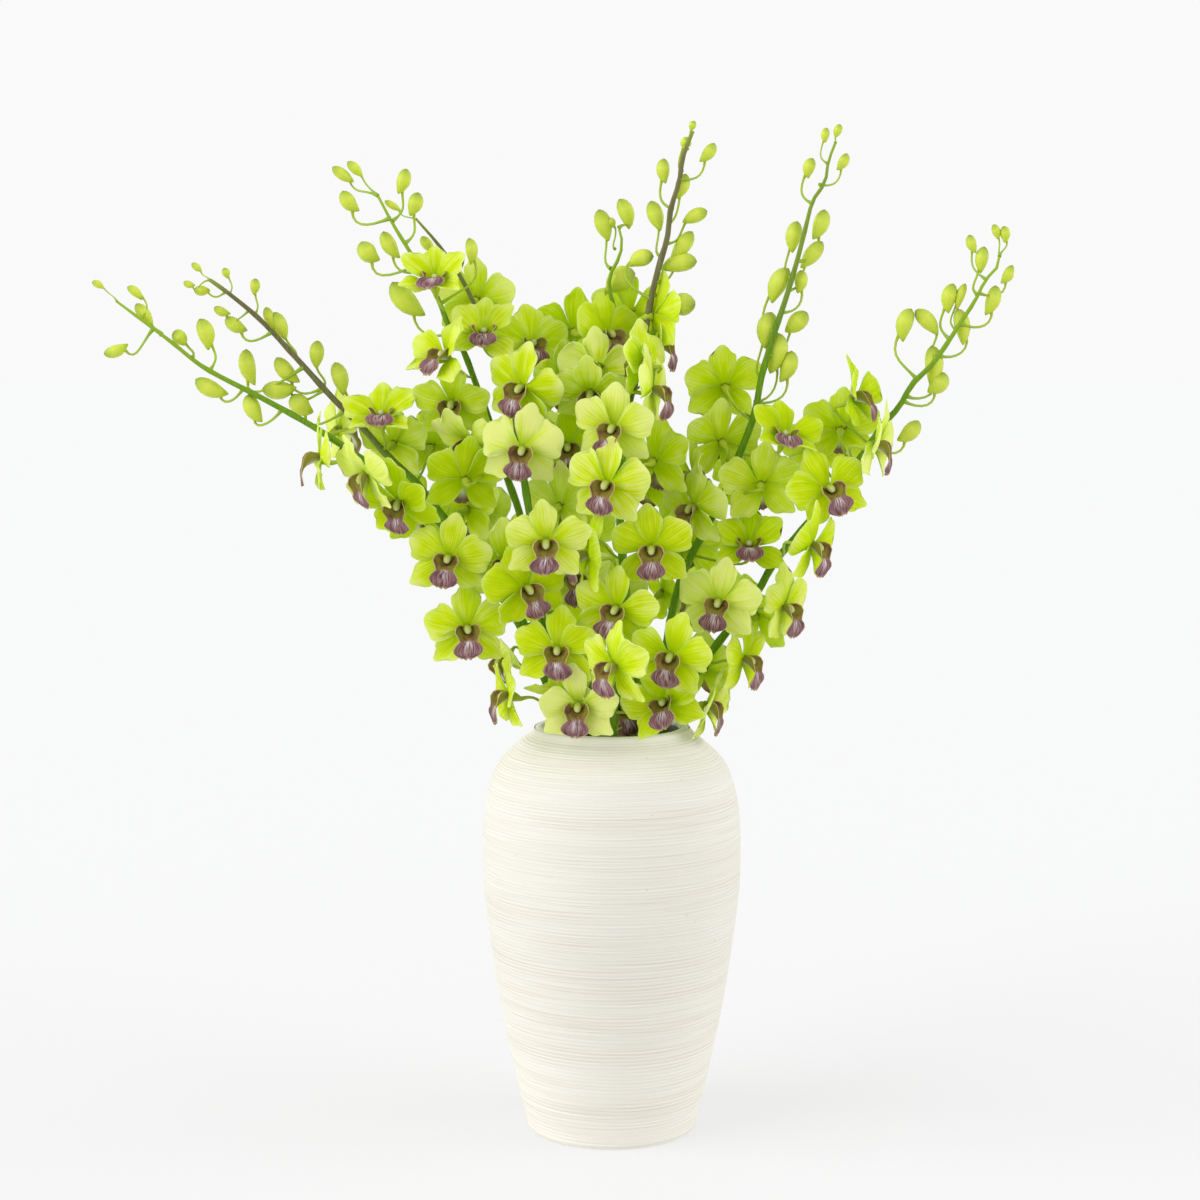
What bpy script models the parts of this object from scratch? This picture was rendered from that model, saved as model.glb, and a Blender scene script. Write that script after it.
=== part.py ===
# Dendrobium orchid sprays standing in water in a turned ceramic vase.
# Metres, +Z up. The origin is the centre of the vase's foot, and the front of the bouquet faces -Y.
# The sprays are placed from hand-read lists in millimetres: x and z are positions in the upright plane
# through the vase's axis, as an eye in front of the vase sees them, and y is how far behind that plane a
# thing really is.

import math
import random

import bmesh
import bpy
from mathutils import Matrix, Vector
from mathutils.bvhtree import BVHTree
from mathutils.geometry import intersect_point_line, interpolate_bezier

MM = 0.001
GAP = 0.3 * MM

# The vase, as heights and radii of its outer side from the rim down to the foot
VASE_PROFILE = (
    (250.0, 47.0), (245.5, 50.5), (239.5, 57.5), (228.0, 69.0), (215.0, 74.6), (197.0, 78.2), (174.0, 79.1),
    (148.0, 78.4), (116.0, 74.6), (78.0, 68.8), (39.0, 61.0), (1.2, 52.4),
)
VASE_HEIGHT = 250.0 * MM
VASE_WALL = 6.0 * MM
VASE_FLOOR = 7.0 * MM
FLOOR_ROUND = 6.0 * MM
FOOT_RADIUS = 51.4 * MM
RIM_ROUND = 2.4 * MM
VASE_STEPS = 26
WATER_LEVEL = 150.0 * MM

# The stems cross inside the vase as the rulings of one hyperboloid, so that none meets another
NECK_RING = 33.0 * MM
FLOOR_RING = 29.0 * MM
TWIST = math.radians(130.0)
STEM_FOOT_RADIUS = 2.4 * MM
STEM_TIP_RADIUS = 0.9 * MM
STEM_TAPER = 1.3
STEM_SIDES = 5
STEM_STEP = 36.0 * MM
ROUTE_STEPS = 8
# A stalk leaves its stem no nearer the end of a stretch than this share of it
LAST_SHARE = 0.98
# The holes in the water reach past the stems' feet by this share of a stem's length in the vase
HOLE_OVERRUN = 0.1

# The eye that the positions were read from
EYE = Vector((-7.26, -1400.0, 476.0)) * MM

# One open flower in its own frame, in millimetres: where each petal or sepal points, 90 degrees being
# straight up, then its stations as how far out and how wide to each side. A last width of 0 is a point.
TEPALS = (
    (25.0, ((16.5, 10.9), (28.0, 5.0))),
    (90.0, ((14.0, 7.8), (29.0, 0.0))),
    (155.0, ((16.5, 10.9), (28.0, 5.0))),
    (220.0, ((14.0, 7.8), (28.0, 0.0))),
    (320.0, ((14.0, 7.8), (28.0, 0.0))),
)
PETALS = (0, 2)
SEPAL_LEAN_SHARE = 0.6
TEPAL_HALF_THICKNESS = 0.4
TEPAL_CUP = 4.5
TEPAL_CURL = 7.0
# How much narrower a petal is for each radian that it leans forward, so that its neighbours still clear it
TEPAL_NARROWING = 0.5
HEART_RADIUS = 4.0
HEART_DEPTH = 1.6
# The end of the lip's blade: y, z, half width, half depth, and how many degrees it leans over
LIP_END = (-14.5, 10.5, 7.4, 0.9, 78.0)
SPUR = Vector((0.0, -2.0, -6.5)) * MM
SPUR_RADIUS = 1.7
STALK_RADIUS = 0.85

# A bud's stations as how far from its heel to its tip, and how full. The joint is where the stalk meets it,
# on the side that faces the stem, and the bud bulges the other way.
BUD_SHOULDER = (0.72, 0.8)
BUD_BELLY = (0.22, 1.0)
BUD_JOINT = (0.05, 0.9)
BUD_FULLNESS = 0.58
BUD_BULGE = 0.4
BUD_SIDES = 4
BUD_DROP = 8.0

# The room that a bud or a flower keeps to the other sprays and to the vase
ROOM = 0.35

# Ways to find room for a bud or a flower, tried in turn: how far behind the stem a bud stands, how far a
# flower moves along the line of sight, and how far below the flower its stalk leaves the stem
BUD_DEPTHS = (5.0, -5.0, 12.0, -12.0, 20.0, -20.0)
SHIFTS = (0.0, -6.0, 6.0, -12.0, 12.0, -18.0, 18.0, -25.0, 25.0, -32.0, 32.0)
DROPS = (12.0, 24.0, 2.0)

# Each spray: the angle at which its stem passes the mouth, then its stem's route above the mouth as (x, z, y)
STEMS = {
    "spray_far_left": (200.0, (
        (-40, 276, -15), (-56, 311, -20), (-77, 343, -24), (-98, 367, -26), (-120, 390, -26),
        (-147, 410, -24), (-180, 432, -20), (-212, 450, -16), (-246, 468, -12), (-265, 483, -9),
        (-281, 495, -7), (-297, 507, -5))),
    "spray_left": (170.0, (
        (-39, 278, 8), (-55, 315, 8), (-74, 343, 8), (-91, 363, 8), (-107, 384, 9), (-120, 400, 10),
        (-137, 416, 11), (-150, 431, 12), (-168, 449, 12), (-186, 469, 12), (-211, 496, 10),
        (-230, 512, 8), (-241, 520, 8))),
    "spray_left_tall": (140.0, (
        (-31, 275, 23), (-40, 305, 23), (-49, 345, 20), (-56, 380, 17), (-64, 403, 14), (-72, 430, 10),
        (-82, 458, 6), (-90, 479, 4), (-98, 492, 2), (-105, 510, 0), (-120, 535, 0), (-131, 553, 0),
        (-140, 570, 0))),
    "spray_left_back": (235.0, (
        (-24, 275, -30), (-32, 300, -31), (-42, 340, -28), (-50, 380, -22), (-56, 420, -14), (-60, 450, -4),
        (-65, 471, 3), (-70, 480, 8), (-80, 500, 18), (-92, 524, 24), (-104, 541, 26), (-117, 556, 26))),
    "spray_centre_back": (60.0, (
        (15, 275, 33), (10, 320, 36), (5, 380, 36), (4, 430, 32), (6, 463, 28), (3, 495, 22), (-2, 520, 18),
        (3, 531, 16), (6, 541, 16), (4, 551, 16))),
    "spray_centre": (305.0, (
        (17, 272, -29), (10, 320, -31), (5, 370, -27), (6, 410, -20), (11, 450, -12), (19, 485, -4),
        (23, 507, 0), (28, 528, 0), (33, 545, 0), (35, 562, 0), (40, 578, 0), (42, 592, 0), (48, 608, 0))),
    "spray_right_centre": (20.0, (
        (31, 275, 11), (34, 305, 11), (42, 340, 9), (56, 369, 7), (66, 387, 5), (78, 418, 2), (86, 440, 0),
        (90, 462, 0), (98, 490, 0), (104, 508, 0), (111, 532, 0), (116, 552, 0), (120, 567, 0),
        (127, 578, 0), (129, 590, 0), (133, 601, 0))),
    "spray_right": (345.0, (
        (41, 266, -8), (50, 280, -8), (65, 301, -8), (88, 331, -8), (98, 349, -6), (118, 373, -4),
        (147, 409, 0), (164, 434, 0), (173, 444, 0), (181, 458, 0), (193, 470, 0), (211, 497, 0),
        (218, 508, 0), (224, 520, 0), (231, 528, 0), (232, 534, 0))),
    "spray_front": (270.0, ((3, 270, -42), (9, 292, -52), (16, 315, -60), (19, 334, -64))),
    "spray_back": (95.0, (
        (-4, 280, 42), (-9, 320, 56), (-15, 360, 70), (-20, 400, 82), (-22, 440, 92), (-20, 474, 98))),
}

# Open flowers as (x, z, depth behind the stem, heading, nod, roll, cup). Heading 0 looks at the eye and 90
# to the right; nod is upward; roll turns the lip, which hangs straight down at 0, to the right; cup is how
# far the petals lean forward.
FLOWERS = {
    "spray_far_left": (
        (-176, 413, -6, -80, 5, 0, 15), (-148, 403, -20, -55, -30, 0, 15),
        (-128, 387, -28, -25, -30, 0, 12), (-99, 352, -30, -8, 0, -5, 5), (-88, 309, -28, 5, 0, 4, 5),
        (-62, 268, -20, -70, 0, 0, 10)),
    "spray_left": (
        (-166, 430, 14, 120, 10, 0, 20), (-139, 436, -14, 0, 50, 0, 38), (-132, 422, 16, 155, 10, 0, 10),
        (-117, 382, 12, 200, -30, 0, 10), (-110, 420, 14, 180, 15, 0, 15), (-88, 382, 12, 150, -10, 0, 10),
        (-65, 350, -30, 0, -5, 8, 8), (-66, 292, -24, -60, -50, 0, 10)),
    "spray_left_tall": (
        (-106, 517, -8, -5, 52, 0, 44), (-99, 473, -24, -45, 30, 0, 30), (-96, 446, -28, -12, -12, 0, 8),
        (-86, 424, -22, -35, -40, 0, 10), (-89, 400, -10, 195, 10, 0, 10), (-82, 508, 14, 165, 10, 0, 10)),
    "spray_left_back": (
        (-77, 486, -14, 0, 42, 0, 38), (-54, 455, -28, -28, -5, -15, 5), (-54, 418, -32, -8, -8, -8, 5),
        (-40, 362, -30, 0, -12, 0, 8), (-52, 334, -26, 25, -10, 15, 8), (-33, 296, -30, -5, 0, 0, 5),
        (-27, 270, -12, -20, -50, 0, 15), (-49, 481, 18, 20, 15, 0, 10), (-30, 458, 20, 30, -10, 0, 10),
        (-28, 420, 18, 10, -5, 0, 10), (-25, 340, 10, 20, 0, 0, 10), (-32, 384, 16, 150, 0, 0, 10)),
    "spray_centre_back": (
        (-23, 489, 8, 195, 0, 0, 8), (-3, 487, -20, 35, 5, 0, 8), (-9, 466, -16, 175, -15, 0, 8),
        (-13, 453, -24, -5, -35, 0, 12), (11, 500, -14, 180, 10, 0, 20)),
    "spray_centre": (
        (20, 470, -14, -120, 0, 0, 10), (26, 481, 4, 75, 5, 0, 20), (24, 499, 16, 120, 0, 0, 25),
        (24, 454, 2, 70, -5, 0, 10), (1, 431, -26, -18, -5, -8, 6), (-3, 397, -32, -18, -5, -8, 4),
        (25, 411, 12, 150, -5, 0, 10), (24, 358, -26, -3, -8, 2, 5), (3, 321, -30, -18, -3, -12, 5),
        (-14, 354, -6, -75, 0, 0, 15)),
    "spray_right_centre": (
        (68, 456, 8, 185, 10, 0, 8), (66, 423, 10, 205, 15, 0, 10), (103, 424, -16, 20, 48, -15, 38),
        (90, 397, -8, 180, 5, 0, 8), (83, 358, -20, 0, 42, 0, 36), (50, 402, 4, -70, 0, 0, 10),
        (50, 383, 0, -45, -10, 0, 10), (48, 360, 12, 200, 0, 0, 8), (56, 284, 10, 150, 0, 0, 12)),
    "spray_right": (
        (145, 449, -6, 70, 15, 0, 35), (138, 430, 14, 170, 10, 0, 12), (158, 421, -4, 78, -5, 0, 15),
        (131, 394, -24, 15, 8, 20, 8), (125, 419, 16, 180, 20, 0, 12), (121, 360, -10, 60, -10, 0, 10),
        (104, 322, -12, 55, -5, 0, 10), (80, 290, -12, 65, -5, 0, 10), (57, 262, -8, 75, -10, 0, 20),
        (65, 325, -28, -12, 0, -8, 5)),
    "spray_front": (
        (36, 292, -16, -15, -5, -10, 6), (33, 263, -12, -25, 15, 20, 20), (2, 286, -14, -50, -5, 0, 8),
        (6, 262, -14, 15, -10, 10, 22), (-12, 284, 16, 170, 0, 0, 10), (-20, 262, -24, -10, -10, 0, 24),
        (12, 256, 2, 185, 10, 0, 14)),
    "spray_back": (),
}

# Buds as (tip x, tip z, heel x, heel z, width)
BUDS = {
    "spray_far_left": (
        (-312, 519, -305, 515, 4), (-291, 516, -282, 508, 5), (-286, 506, -276, 493, 7),
        (-306, 476, -291, 482, 6.5), (-264, 489, -257, 481, 8), (-248, 497, -243, 478, 9),
        (-251, 461, -231, 452, 9), (-219, 452, -211, 435, 9)),
    "spray_left": (
        (-252, 530, -246, 525, 4), (-257, 519, -250, 517, 4), (-251, 514, -241, 514, 5.5),
        (-233, 527, -231, 521, 4.5), (-214, 521, -215, 511, 5.5), (-239, 504, -229, 500, 5),
        (-232, 498, -219, 490, 7.5), (-208, 504, -203, 490, 6), (-203, 501, -196, 484, 8),
        (-220, 479, -215, 457, 9), (-202, 474, -188, 459, 9), (-211, 455, -190, 456, 10),
        (-192, 452, -180, 441, 11), (-177, 484, -178, 467, 8), (-167, 471, -162, 451, 9)),
    "spray_left_tall": (
        (-158, 590, -149, 581, 5.5), (-167, 587, -154, 578, 6), (-161, 573, -151, 561, 8),
        (-123, 586, -128, 571, 7.5), (-116, 572, -121, 558, 8), (-137, 549, -127, 533, 8),
        (-150, 543, -139, 532, 10), (-132, 519, -112, 499, 12), (-86, 545, -85, 529, 6.5)),
    "spray_left_back": ((-136, 567, -126, 561, 4), (-114, 546, -106, 537, 6)),
    "spray_centre_back": (
        (-8, 562, -2, 543, 9), (-3, 556, 1, 551, 5), (4, 568, 10, 550, 8.5), (14, 524, -3, 512, 13)),
    "spray_centre": (
        (49, 614, 47, 608, 4), (46, 604, 43, 597, 6), (61, 601, 52, 590, 6.5), (31, 592, 32, 577, 7),
        (44, 583, 39, 568, 7.5), (57, 561, 42, 554, 7.5), (48, 549, 35, 532, 8.5),
        (23, 567, 29, 549, 8.5), (25, 534, 10, 528, 9), (51, 531, 29, 526, 10), (50, 505, 33, 503, 12)),
    "spray_right_centre": (
        (136, 612, 133, 604, 4.5), (128, 610, 127, 601, 4.5), (140, 595, 134, 585, 5.5),
        (120, 592, 117, 580, 6.5), (119, 583, 118, 568, 8), (111, 555, 108, 536, 8.5),
        (127, 562, 120, 544, 8.5), (126, 543, 113, 527, 8.5), (106, 527, 96, 506, 10),
        (113, 526, 111, 512, 7), (96, 501, 92, 479, 11), (117, 501, 104, 489, 10),
        (99, 489, 95, 464, 12), (108, 478, 101, 459, 9)),
    "spray_right": (
        (228, 553, 231, 544, 4.5), (234, 552, 235, 542, 5.5), (214, 547, 218, 536, 5.5),
        (223, 540, 221, 524, 7), (240, 529, 233, 518, 6), (230, 517, 224, 499, 8),
        (205, 518, 202, 500, 8), (212, 518, 207, 502, 5), (207, 503, 211, 481, 8.5),
        (180, 503, 175, 483, 9), (182, 502, 196, 487, 8.5), (192, 481, 192, 456, 10),
        (200, 465, 190, 453, 10), (185, 436, 172, 424, 9)),
    "spray_front": (),
    "spray_back": (
        (-20, 489, -19, 476, 6), (-30, 480, -24, 469, 8), (-9, 479, -14, 466, 8)),
}

# Flowers on the far side of each stem, which the eye doesn't see: how many, and between which heights
FAR_FLOWERS = {
    "spray_far_left": (1, 320, 380), "spray_left": (1, 330, 390), "spray_left_tall": (3, 285, 440),
    "spray_left_back": (0, 300, 440), "spray_centre_back": (4, 290, 450), "spray_centre": (0, 300, 440),
    "spray_right_centre": (3, 285, 420), "spray_right": (2, 300, 390), "spray_front": (0, 280, 330),
    "spray_back": (5, 285, 460),
}
FAR_DEPTH = 26.0
FAR_SIDE = 16.0
FAR_RISE = 10.0
# How many degrees a far flower looks aside for each millimetre that it stands aside
FAR_TURN = 2.2
FAR_SCATTER = 5.0
FAR_TILT = 15.0
FAR_CUPS = (4.0, 16.0)
SEED = 7

SHARP_ANGLE = math.radians(75.0)
MERGE_DISTANCE = 0.00001


def clear_scene():
    for old in list(bpy.data.objects):
        bpy.data.objects.remove(old, do_unlink=True)


def new_collection(name):
    made = bpy.data.collections.new(name)
    bpy.context.scene.collection.children.link(made)
    return made


def material(name, colour, roughness):
    made = bpy.data.materials.new(name)
    made.use_nodes = True
    shader = made.node_tree.nodes["Principled BSDF"]
    shader.inputs["Base Color"].default_value = (*colour, 1.0)
    shader.inputs["Roughness"].default_value = roughness
    shader.inputs["Metallic"].default_value = 0.0
    return made


def new_object(name, mesh, collection, look):
    mesh.materials.clear()
    mesh.materials.append(look)
    made = bpy.data.objects.new(name, mesh)
    collection.objects.link(made)
    return made


def to_mesh(shape, name):
    mesh = bpy.data.meshes.new(name)
    shape.to_mesh(mesh)
    shape.free()
    return mesh


def finished_mesh(source):
    """The object's mesh with its modifiers applied."""
    bpy.context.view_layer.update()
    graph = bpy.context.evaluated_depsgraph_get()
    return bpy.data.meshes.new_from_object(source.evaluated_get(graph))


def seen_at(x, z, y):
    """The point at depth y that the eye sees at x, z in the upright plane through the vase's axis."""
    on_plane = Vector((x, 0.0, z)) * MM
    reach = (y * MM - EYE.y) / -EYE.y
    return EYE + (on_plane - EYE) * reach


def seen_from_eye(point):
    """Where the eye sees a point, in the upright plane through the vase's axis."""
    return EYE + (point - EYE) * (-EYE.y / (point.y - EYE.y))


def smooth_route(points, first_tangent):
    """A smooth curve through the points, leaving the first one along first_tangent."""
    tangents = [first_tangent.normalized()]
    tangents += [(after - before).normalized() for before, after in zip(points, points[2:])]
    tangents.append((points[-1] - points[-2]).normalized())
    route = [points[0]]
    for k, (low, high) in enumerate(zip(points, points[1:])):
        third = (high - low).length / 3
        handles = low + tangents[k] * third, high - tangents[k + 1] * third
        route += interpolate_bezier(low, *handles, high, ROUTE_STEPS + 1)[1:]
    return [Vector(point) for point in route]


def even_points(route, step):
    """Points along the route about one step apart, its two ends included."""
    lengths = [0.0]
    for before, after in zip(route, route[1:]):
        lengths.append(lengths[-1] + (after - before).length)
    count = max(2, round(lengths[-1] / step))
    points = []
    k = 0
    for i in range(count + 1):
        wanted = lengths[-1] * i / count
        while k < len(route) - 2 and lengths[k + 1] < wanted:
            k += 1
        share = (wanted - lengths[k]) / (lengths[k + 1] - lengths[k])
        points.append(route[k].lerp(route[k + 1], share))
    return points


def stem_of(angle, route):
    """The stem's low end in the vase, and its centre line above the mouth as a chain of stretches."""
    turn = math.radians(angle)
    neck = Vector((NECK_RING * math.cos(turn), NECK_RING * math.sin(turn), VASE_HEIGHT))
    turn += TWIST
    low = Vector((FLOOR_RING * math.cos(turn), FLOOR_RING * math.sin(turn), VASE_FLOOR + GAP))
    low.z += STEM_FOOT_RADIUS * (neck - low).to_2d().length / (neck - low).length
    above = smooth_route([neck] + [seen_at(*point) for point in route], neck - low)
    return low, even_points(above, STEM_STEP)


def nearest_on(stem, place):
    """The point on the stem's centre line nearest to place, and never its very tip."""
    found = []
    for low, high in zip(stem, stem[1:]):
        _, share = intersect_point_line(place, low, high)
        found.append(low.lerp(high, min(max(share, 0.0), LAST_SHARE)))
    return min(found, key=lambda point: (point - place).length)


def nearest_seen(stem, x, z):
    """The point on the stem nearest to x, z as the eye sees it."""
    wanted = Vector((x, 0, z)) * MM
    shares = [k / ROUTE_STEPS for k in range(ROUTE_STEPS + 1)]
    steps = [low.lerp(high, share) for low, high in zip(stem, stem[1:]) for share in shares]
    return min(steps, key=lambda point: (seen_from_eye(point) - wanted).length)


def pushed_out(shape, ring):
    """A new end ring that comes of extruding the face with these corners, in the same order as they are."""
    face = next(found for found in ring[0].link_faces if set(found.verts) == set(ring))
    if len(shape.faces) > 1:
        made = bmesh.ops.extrude_discrete_faces(shape, faces=[face])["faces"]
    else:
        made = bmesh.ops.extrude_face_region(shape, geom=[face])["geom"]
    end = next(item for item in made if isinstance(item, bmesh.types.BMFace))
    return [min(end.verts, key=lambda vert: (vert.co - old.co).length) for old in ring]


def set_ring(ring, turns, middle, across, upward):
    """Stands a ring's corners on an ellipse about middle, each at its own turn."""
    for vert, turn in zip(ring, turns):
        vert.co = middle + across * math.cos(turn) + upward * math.sin(turn)


def sweep_on(shape, ring, turns, points, radii, across):
    """Draws the end ring on through the points, as a tube with these radii."""
    last = sum((vert.co for vert in ring), Vector()) / len(ring)
    for k, (point, radius) in enumerate(zip(points, radii)):
        ring = pushed_out(shape, ring)
        following = points[k + 1] if k + 1 < len(points) else point
        along = (following - last).normalized()
        across = (across - along * across.dot(along)).normalized()
        set_ring(ring, turns, point, across * radius, along.cross(across) * -radius)
        last = point


def swept_tube(points, radii, sides):
    """A closed tube with flat sides, swept along the points."""
    tube = bmesh.new()
    turns = [2 * math.pi * k / sides for k in range(sides)]
    ring = bmesh.ops.create_circle(tube, cap_ends=True, segments=sides, radius=1.0)["verts"]
    along = (points[1] - points[0]).normalized()
    across = along.orthogonal().normalized()
    set_ring(ring, turns, points[0], across * radii[0], along.cross(across) * -radii[0])
    sweep_on(tube, ring, turns, points[1:], radii[1:], across)
    bmesh.ops.recalc_face_normals(tube, faces=tube.faces)
    return tube


def stem_solid(low, above):
    """The stem's tube, tapering from its cut foot to its tip."""
    span = STEM_TIP_RADIUS - STEM_FOOT_RADIUS
    last = len(above) - 1
    taper = [STEM_FOOT_RADIUS + span * (k / last) ** STEM_TAPER for k in range(len(above))]
    return swept_tube([low] + above, [STEM_FOOT_RADIUS] + taper, STEM_SIDES)


def arch(reach):
    """How far forward a petal stands at this distance from the flower's middle."""
    share = reach / TEPALS[0][1][-1][0]
    return TEPAL_CUP * share - TEPAL_CURL * share * share


def draw_tepal(flower, ring, turn, stations, lean, grow):
    """Draws one side of the flower's heart out into a petal or a sepal, arched along its length."""
    flat = Vector((math.cos(turn), math.sin(turn), 0))
    aside = Vector((-math.sin(turn), math.cos(turn), 0))
    out = flat * math.cos(lean) + Vector((0, 0, math.sin(lean)))
    face = Vector((0, 0, math.cos(lean))) - flat * math.sin(lean)
    narrowed = 1.0 - TEPAL_NARROWING * lean
    for reach, half_width in stations:
        ring = pushed_out(flower, ring)
        middle = out * (reach + grow) + face * arch(reach)
        centre = sum((vert.co for vert in ring), Vector()) / len(ring)
        for vert in ring:
            wide = math.copysign(half_width * narrowed + grow, (vert.co - centre).dot(aside))
            deep = math.copysign(TEPAL_HALF_THICKNESS + grow, vert.co.z - centre.z)
            vert.co = middle + aside * wide + face * deep
        if half_width == 0.0:
            for pair in ((ring[0], ring[3]), (ring[1], ring[2])):
                bmesh.ops.pointmerge(flower, verts=pair, merge_co=(pair[0].co + pair[1].co) / 2)


def flower_head(stand, cup, grow):
    """One open flower, drawn out of a small five-sided heart: petals and sepals from its sides and the lip
    from its front. Returns it with the corners of its back, and their turns."""
    flower = bmesh.new()
    back = bmesh.ops.create_circle(flower, cap_ends=True, segments=len(TEPALS), radius=1.0)["verts"]
    turns = [math.radians(turn) for turn, _ in TEPALS]
    seams = [(turn + after) / 2 for turn, after in zip(turns, turns[1:] + [turns[0] + 2 * math.pi])]
    radius = HEART_RADIUS + grow
    x_axis, y_axis = Vector((1, 0, 0)), Vector((0, 1, 0))
    set_ring(back, seams, Vector((0, 0, -HEART_DEPTH - grow)), x_axis * radius, y_axis * radius)
    front = pushed_out(flower, back)
    set_ring(front, seams, Vector((0, 0, grow)), x_axis * radius, y_axis * radius)
    for k, (_, stations) in enumerate(TEPALS):
        lean = math.radians(cup) * (1.0 if k in PETALS else SEPAL_LEAN_SHARE)
        side = [back[k - 1], front[k - 1], front[k], back[k]]
        draw_tepal(flower, side, turns[k], stations, lean, grow)
    y, z, half_width, half_depth, lean = LIP_END
    upward = Vector((0, math.cos(math.radians(lean)), math.sin(math.radians(lean))))
    lip = pushed_out(flower, front)
    set_ring(lip, seams, Vector((0, y, z)), x_axis * (half_width + grow), upward * (half_depth + grow))
    bmesh.ops.transform(flower, matrix=stand @ Matrix.Scale(MM, 4), verts=flower.verts)
    return flower, back, seams


def flower_solid(stand, cup, foot, grow):
    """One open flower with its spur, and its stalk down to the stem."""
    flower, back, seams = flower_head(stand, cup, grow)
    radii = [(SPUR_RADIUS + grow) * MM, (STALK_RADIUS + grow) * MM]
    sweep_on(flower, back, seams, [stand @ SPUR, foot], radii, stand.to_3x3() @ Vector((1, 0, 0)))
    bmesh.ops.recalc_face_normals(flower, faces=flower.faces)
    return flower


def bud_solid(tip, heel, width, foot, grow):
    """One bud and its stalk: a tube that swells from the bud's point, narrows to the joint near its heel and
    runs down to the stem."""
    axis = tip - heel
    to_foot = foot - heel.lerp(tip, 0.5)
    bow = (to_foot - axis * (to_foot.dot(axis) / axis.length_squared)).normalized()
    wide = (width * BUD_FULLNESS + grow) * MM
    thin = (STALK_RADIUS + grow) * MM
    outward = bow * -wide * BUD_BULGE
    shoulder, belly = heel.lerp(tip, BUD_SHOULDER[0]) + outward, heel.lerp(tip, BUD_BELLY[0]) + outward
    joint = heel.lerp(tip, BUD_JOINT[0]) + bow * wide * BUD_JOINT[1]
    radii = [thin, wide * BUD_SHOULDER[1], wide * BUD_BELLY[1], thin, thin]
    bud = swept_tube([tip, shoulder, belly, joint, foot], radii, BUD_SIDES)
    end = sorted(bud.verts, key=lambda vert: (vert.co - tip).length)[:BUD_SIDES]
    bmesh.ops.pointmerge(bud, verts=end, merge_co=tip)
    return bud


def flower_frame(place, heading, nod, roll):
    """The matrix that stands a flower at place, looking along its heading and nod."""
    h, n, r = math.radians(heading), math.radians(nod), math.radians(roll)
    face = Vector((math.sin(h) * math.cos(n), -math.cos(h) * math.cos(n), math.sin(n)))
    up = Vector((-math.sin(h) * math.sin(n), math.cos(h) * math.sin(n), math.cos(n)))
    right = up.cross(face)
    top = up * math.cos(r) - right * math.sin(r)
    side = right * math.cos(r) + up * math.sin(r)
    turned = Matrix((side, top, face)).transposed()
    return Matrix.Translation(place) @ turned.to_4x4()


def flower_try(stem, flower, shift, drop):
    """Where one flower stands, as its frame and its stalk's foot, when it is moved by shift along the line
    of sight and its stalk leaves the stem drop below it."""
    x, z, depth, heading, nod, roll, _ = flower
    near = nearest_seen(stem, x, z - drop)
    stand = flower_frame(seen_at(x, z, near.y / MM + depth + shift), heading, nod, roll)
    return stand, nearest_on(stem, stand @ SPUR - Vector((0, 0, drop * MM)))


def bud_try(stem, bud, depth):
    """Where one bud stands when it is this far behind the stem: its tip, its heel and its stalk's foot."""
    tip_x, tip_z, heel_x, heel_z, _ = bud
    y = nearest_seen(stem, heel_x, heel_z - BUD_DROP).y / MM + depth
    tip, heel = seen_at(tip_x, tip_z, y), seen_at(heel_x, heel_z, y)
    return tip, heel, nearest_on(stem, heel - Vector((0, 0, BUD_DROP * MM)))


def far_flowers(name, stem, draw):
    """Flowers by rule on the side of the stem away from the eye, turned out at random."""
    count, low, high = FAR_FLOWERS[name]
    found = []
    for k in range(count):
        height = (low + (high - low) * (k + 0.5) / count) * MM
        seen = seen_from_eye(min(stem, key=lambda point: abs(point.z - height))) / MM
        side = FAR_SIDE * (-1) ** k + draw.uniform(-FAR_SCATTER, FAR_SCATTER)
        heading = 180 - side * FAR_TURN + draw.uniform(-FAR_TILT, FAR_TILT)
        nod, cup = draw.uniform(-FAR_TILT, FAR_TILT), draw.uniform(*FAR_CUPS)
        found.append((seen.x + side, seen.z + FAR_RISE, FAR_DEPTH, heading, nod, 0, cup))
    return tuple(found)


def tree_of(shape):
    """A search tree over a shape's faces, for finding what it meets."""
    return BVHTree.FromBMesh(shape)


def meets(shape, trees):
    """Whether a shape, which isn't needed again, meets any of the others."""
    tree = tree_of(shape)
    shape.free()
    return any(tree.overlap(other) for other in trees)


def place_bud(stem, bud, others, own):
    """The bud's solid at the first depth where it clears the other sprays, or None. A bud may meet its own
    spray, which it is fused to."""
    for depth in BUD_DEPTHS:
        tip, heel, foot = bud_try(stem, bud, depth)
        if not meets(bud_solid(tip, heel, bud[4], foot, ROOM), others):
            return bud_solid(tip, heel, bud[4], foot, 0.0)
    return None


def place_flower(stem, flower, others, own):
    """The flower's solid at the first try where it clears the other sprays, and its own spray too if any try
    does. None where no try clears the others."""
    cup = flower[-1]
    second_best = None
    for drop in DROPS:
        for shift in SHIFTS:
            stand, foot = flower_try(stem, flower, shift, drop)
            if meets(flower_solid(stand, cup, foot, ROOM), others):
                continue
            if not meets(flower_head(stand, cup, ROOM)[0], own):
                return flower_solid(stand, cup, foot, 0.0)
            second_best = second_best or (stand, cup, foot)
    return second_best and flower_solid(*second_best, 0.0)


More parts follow.
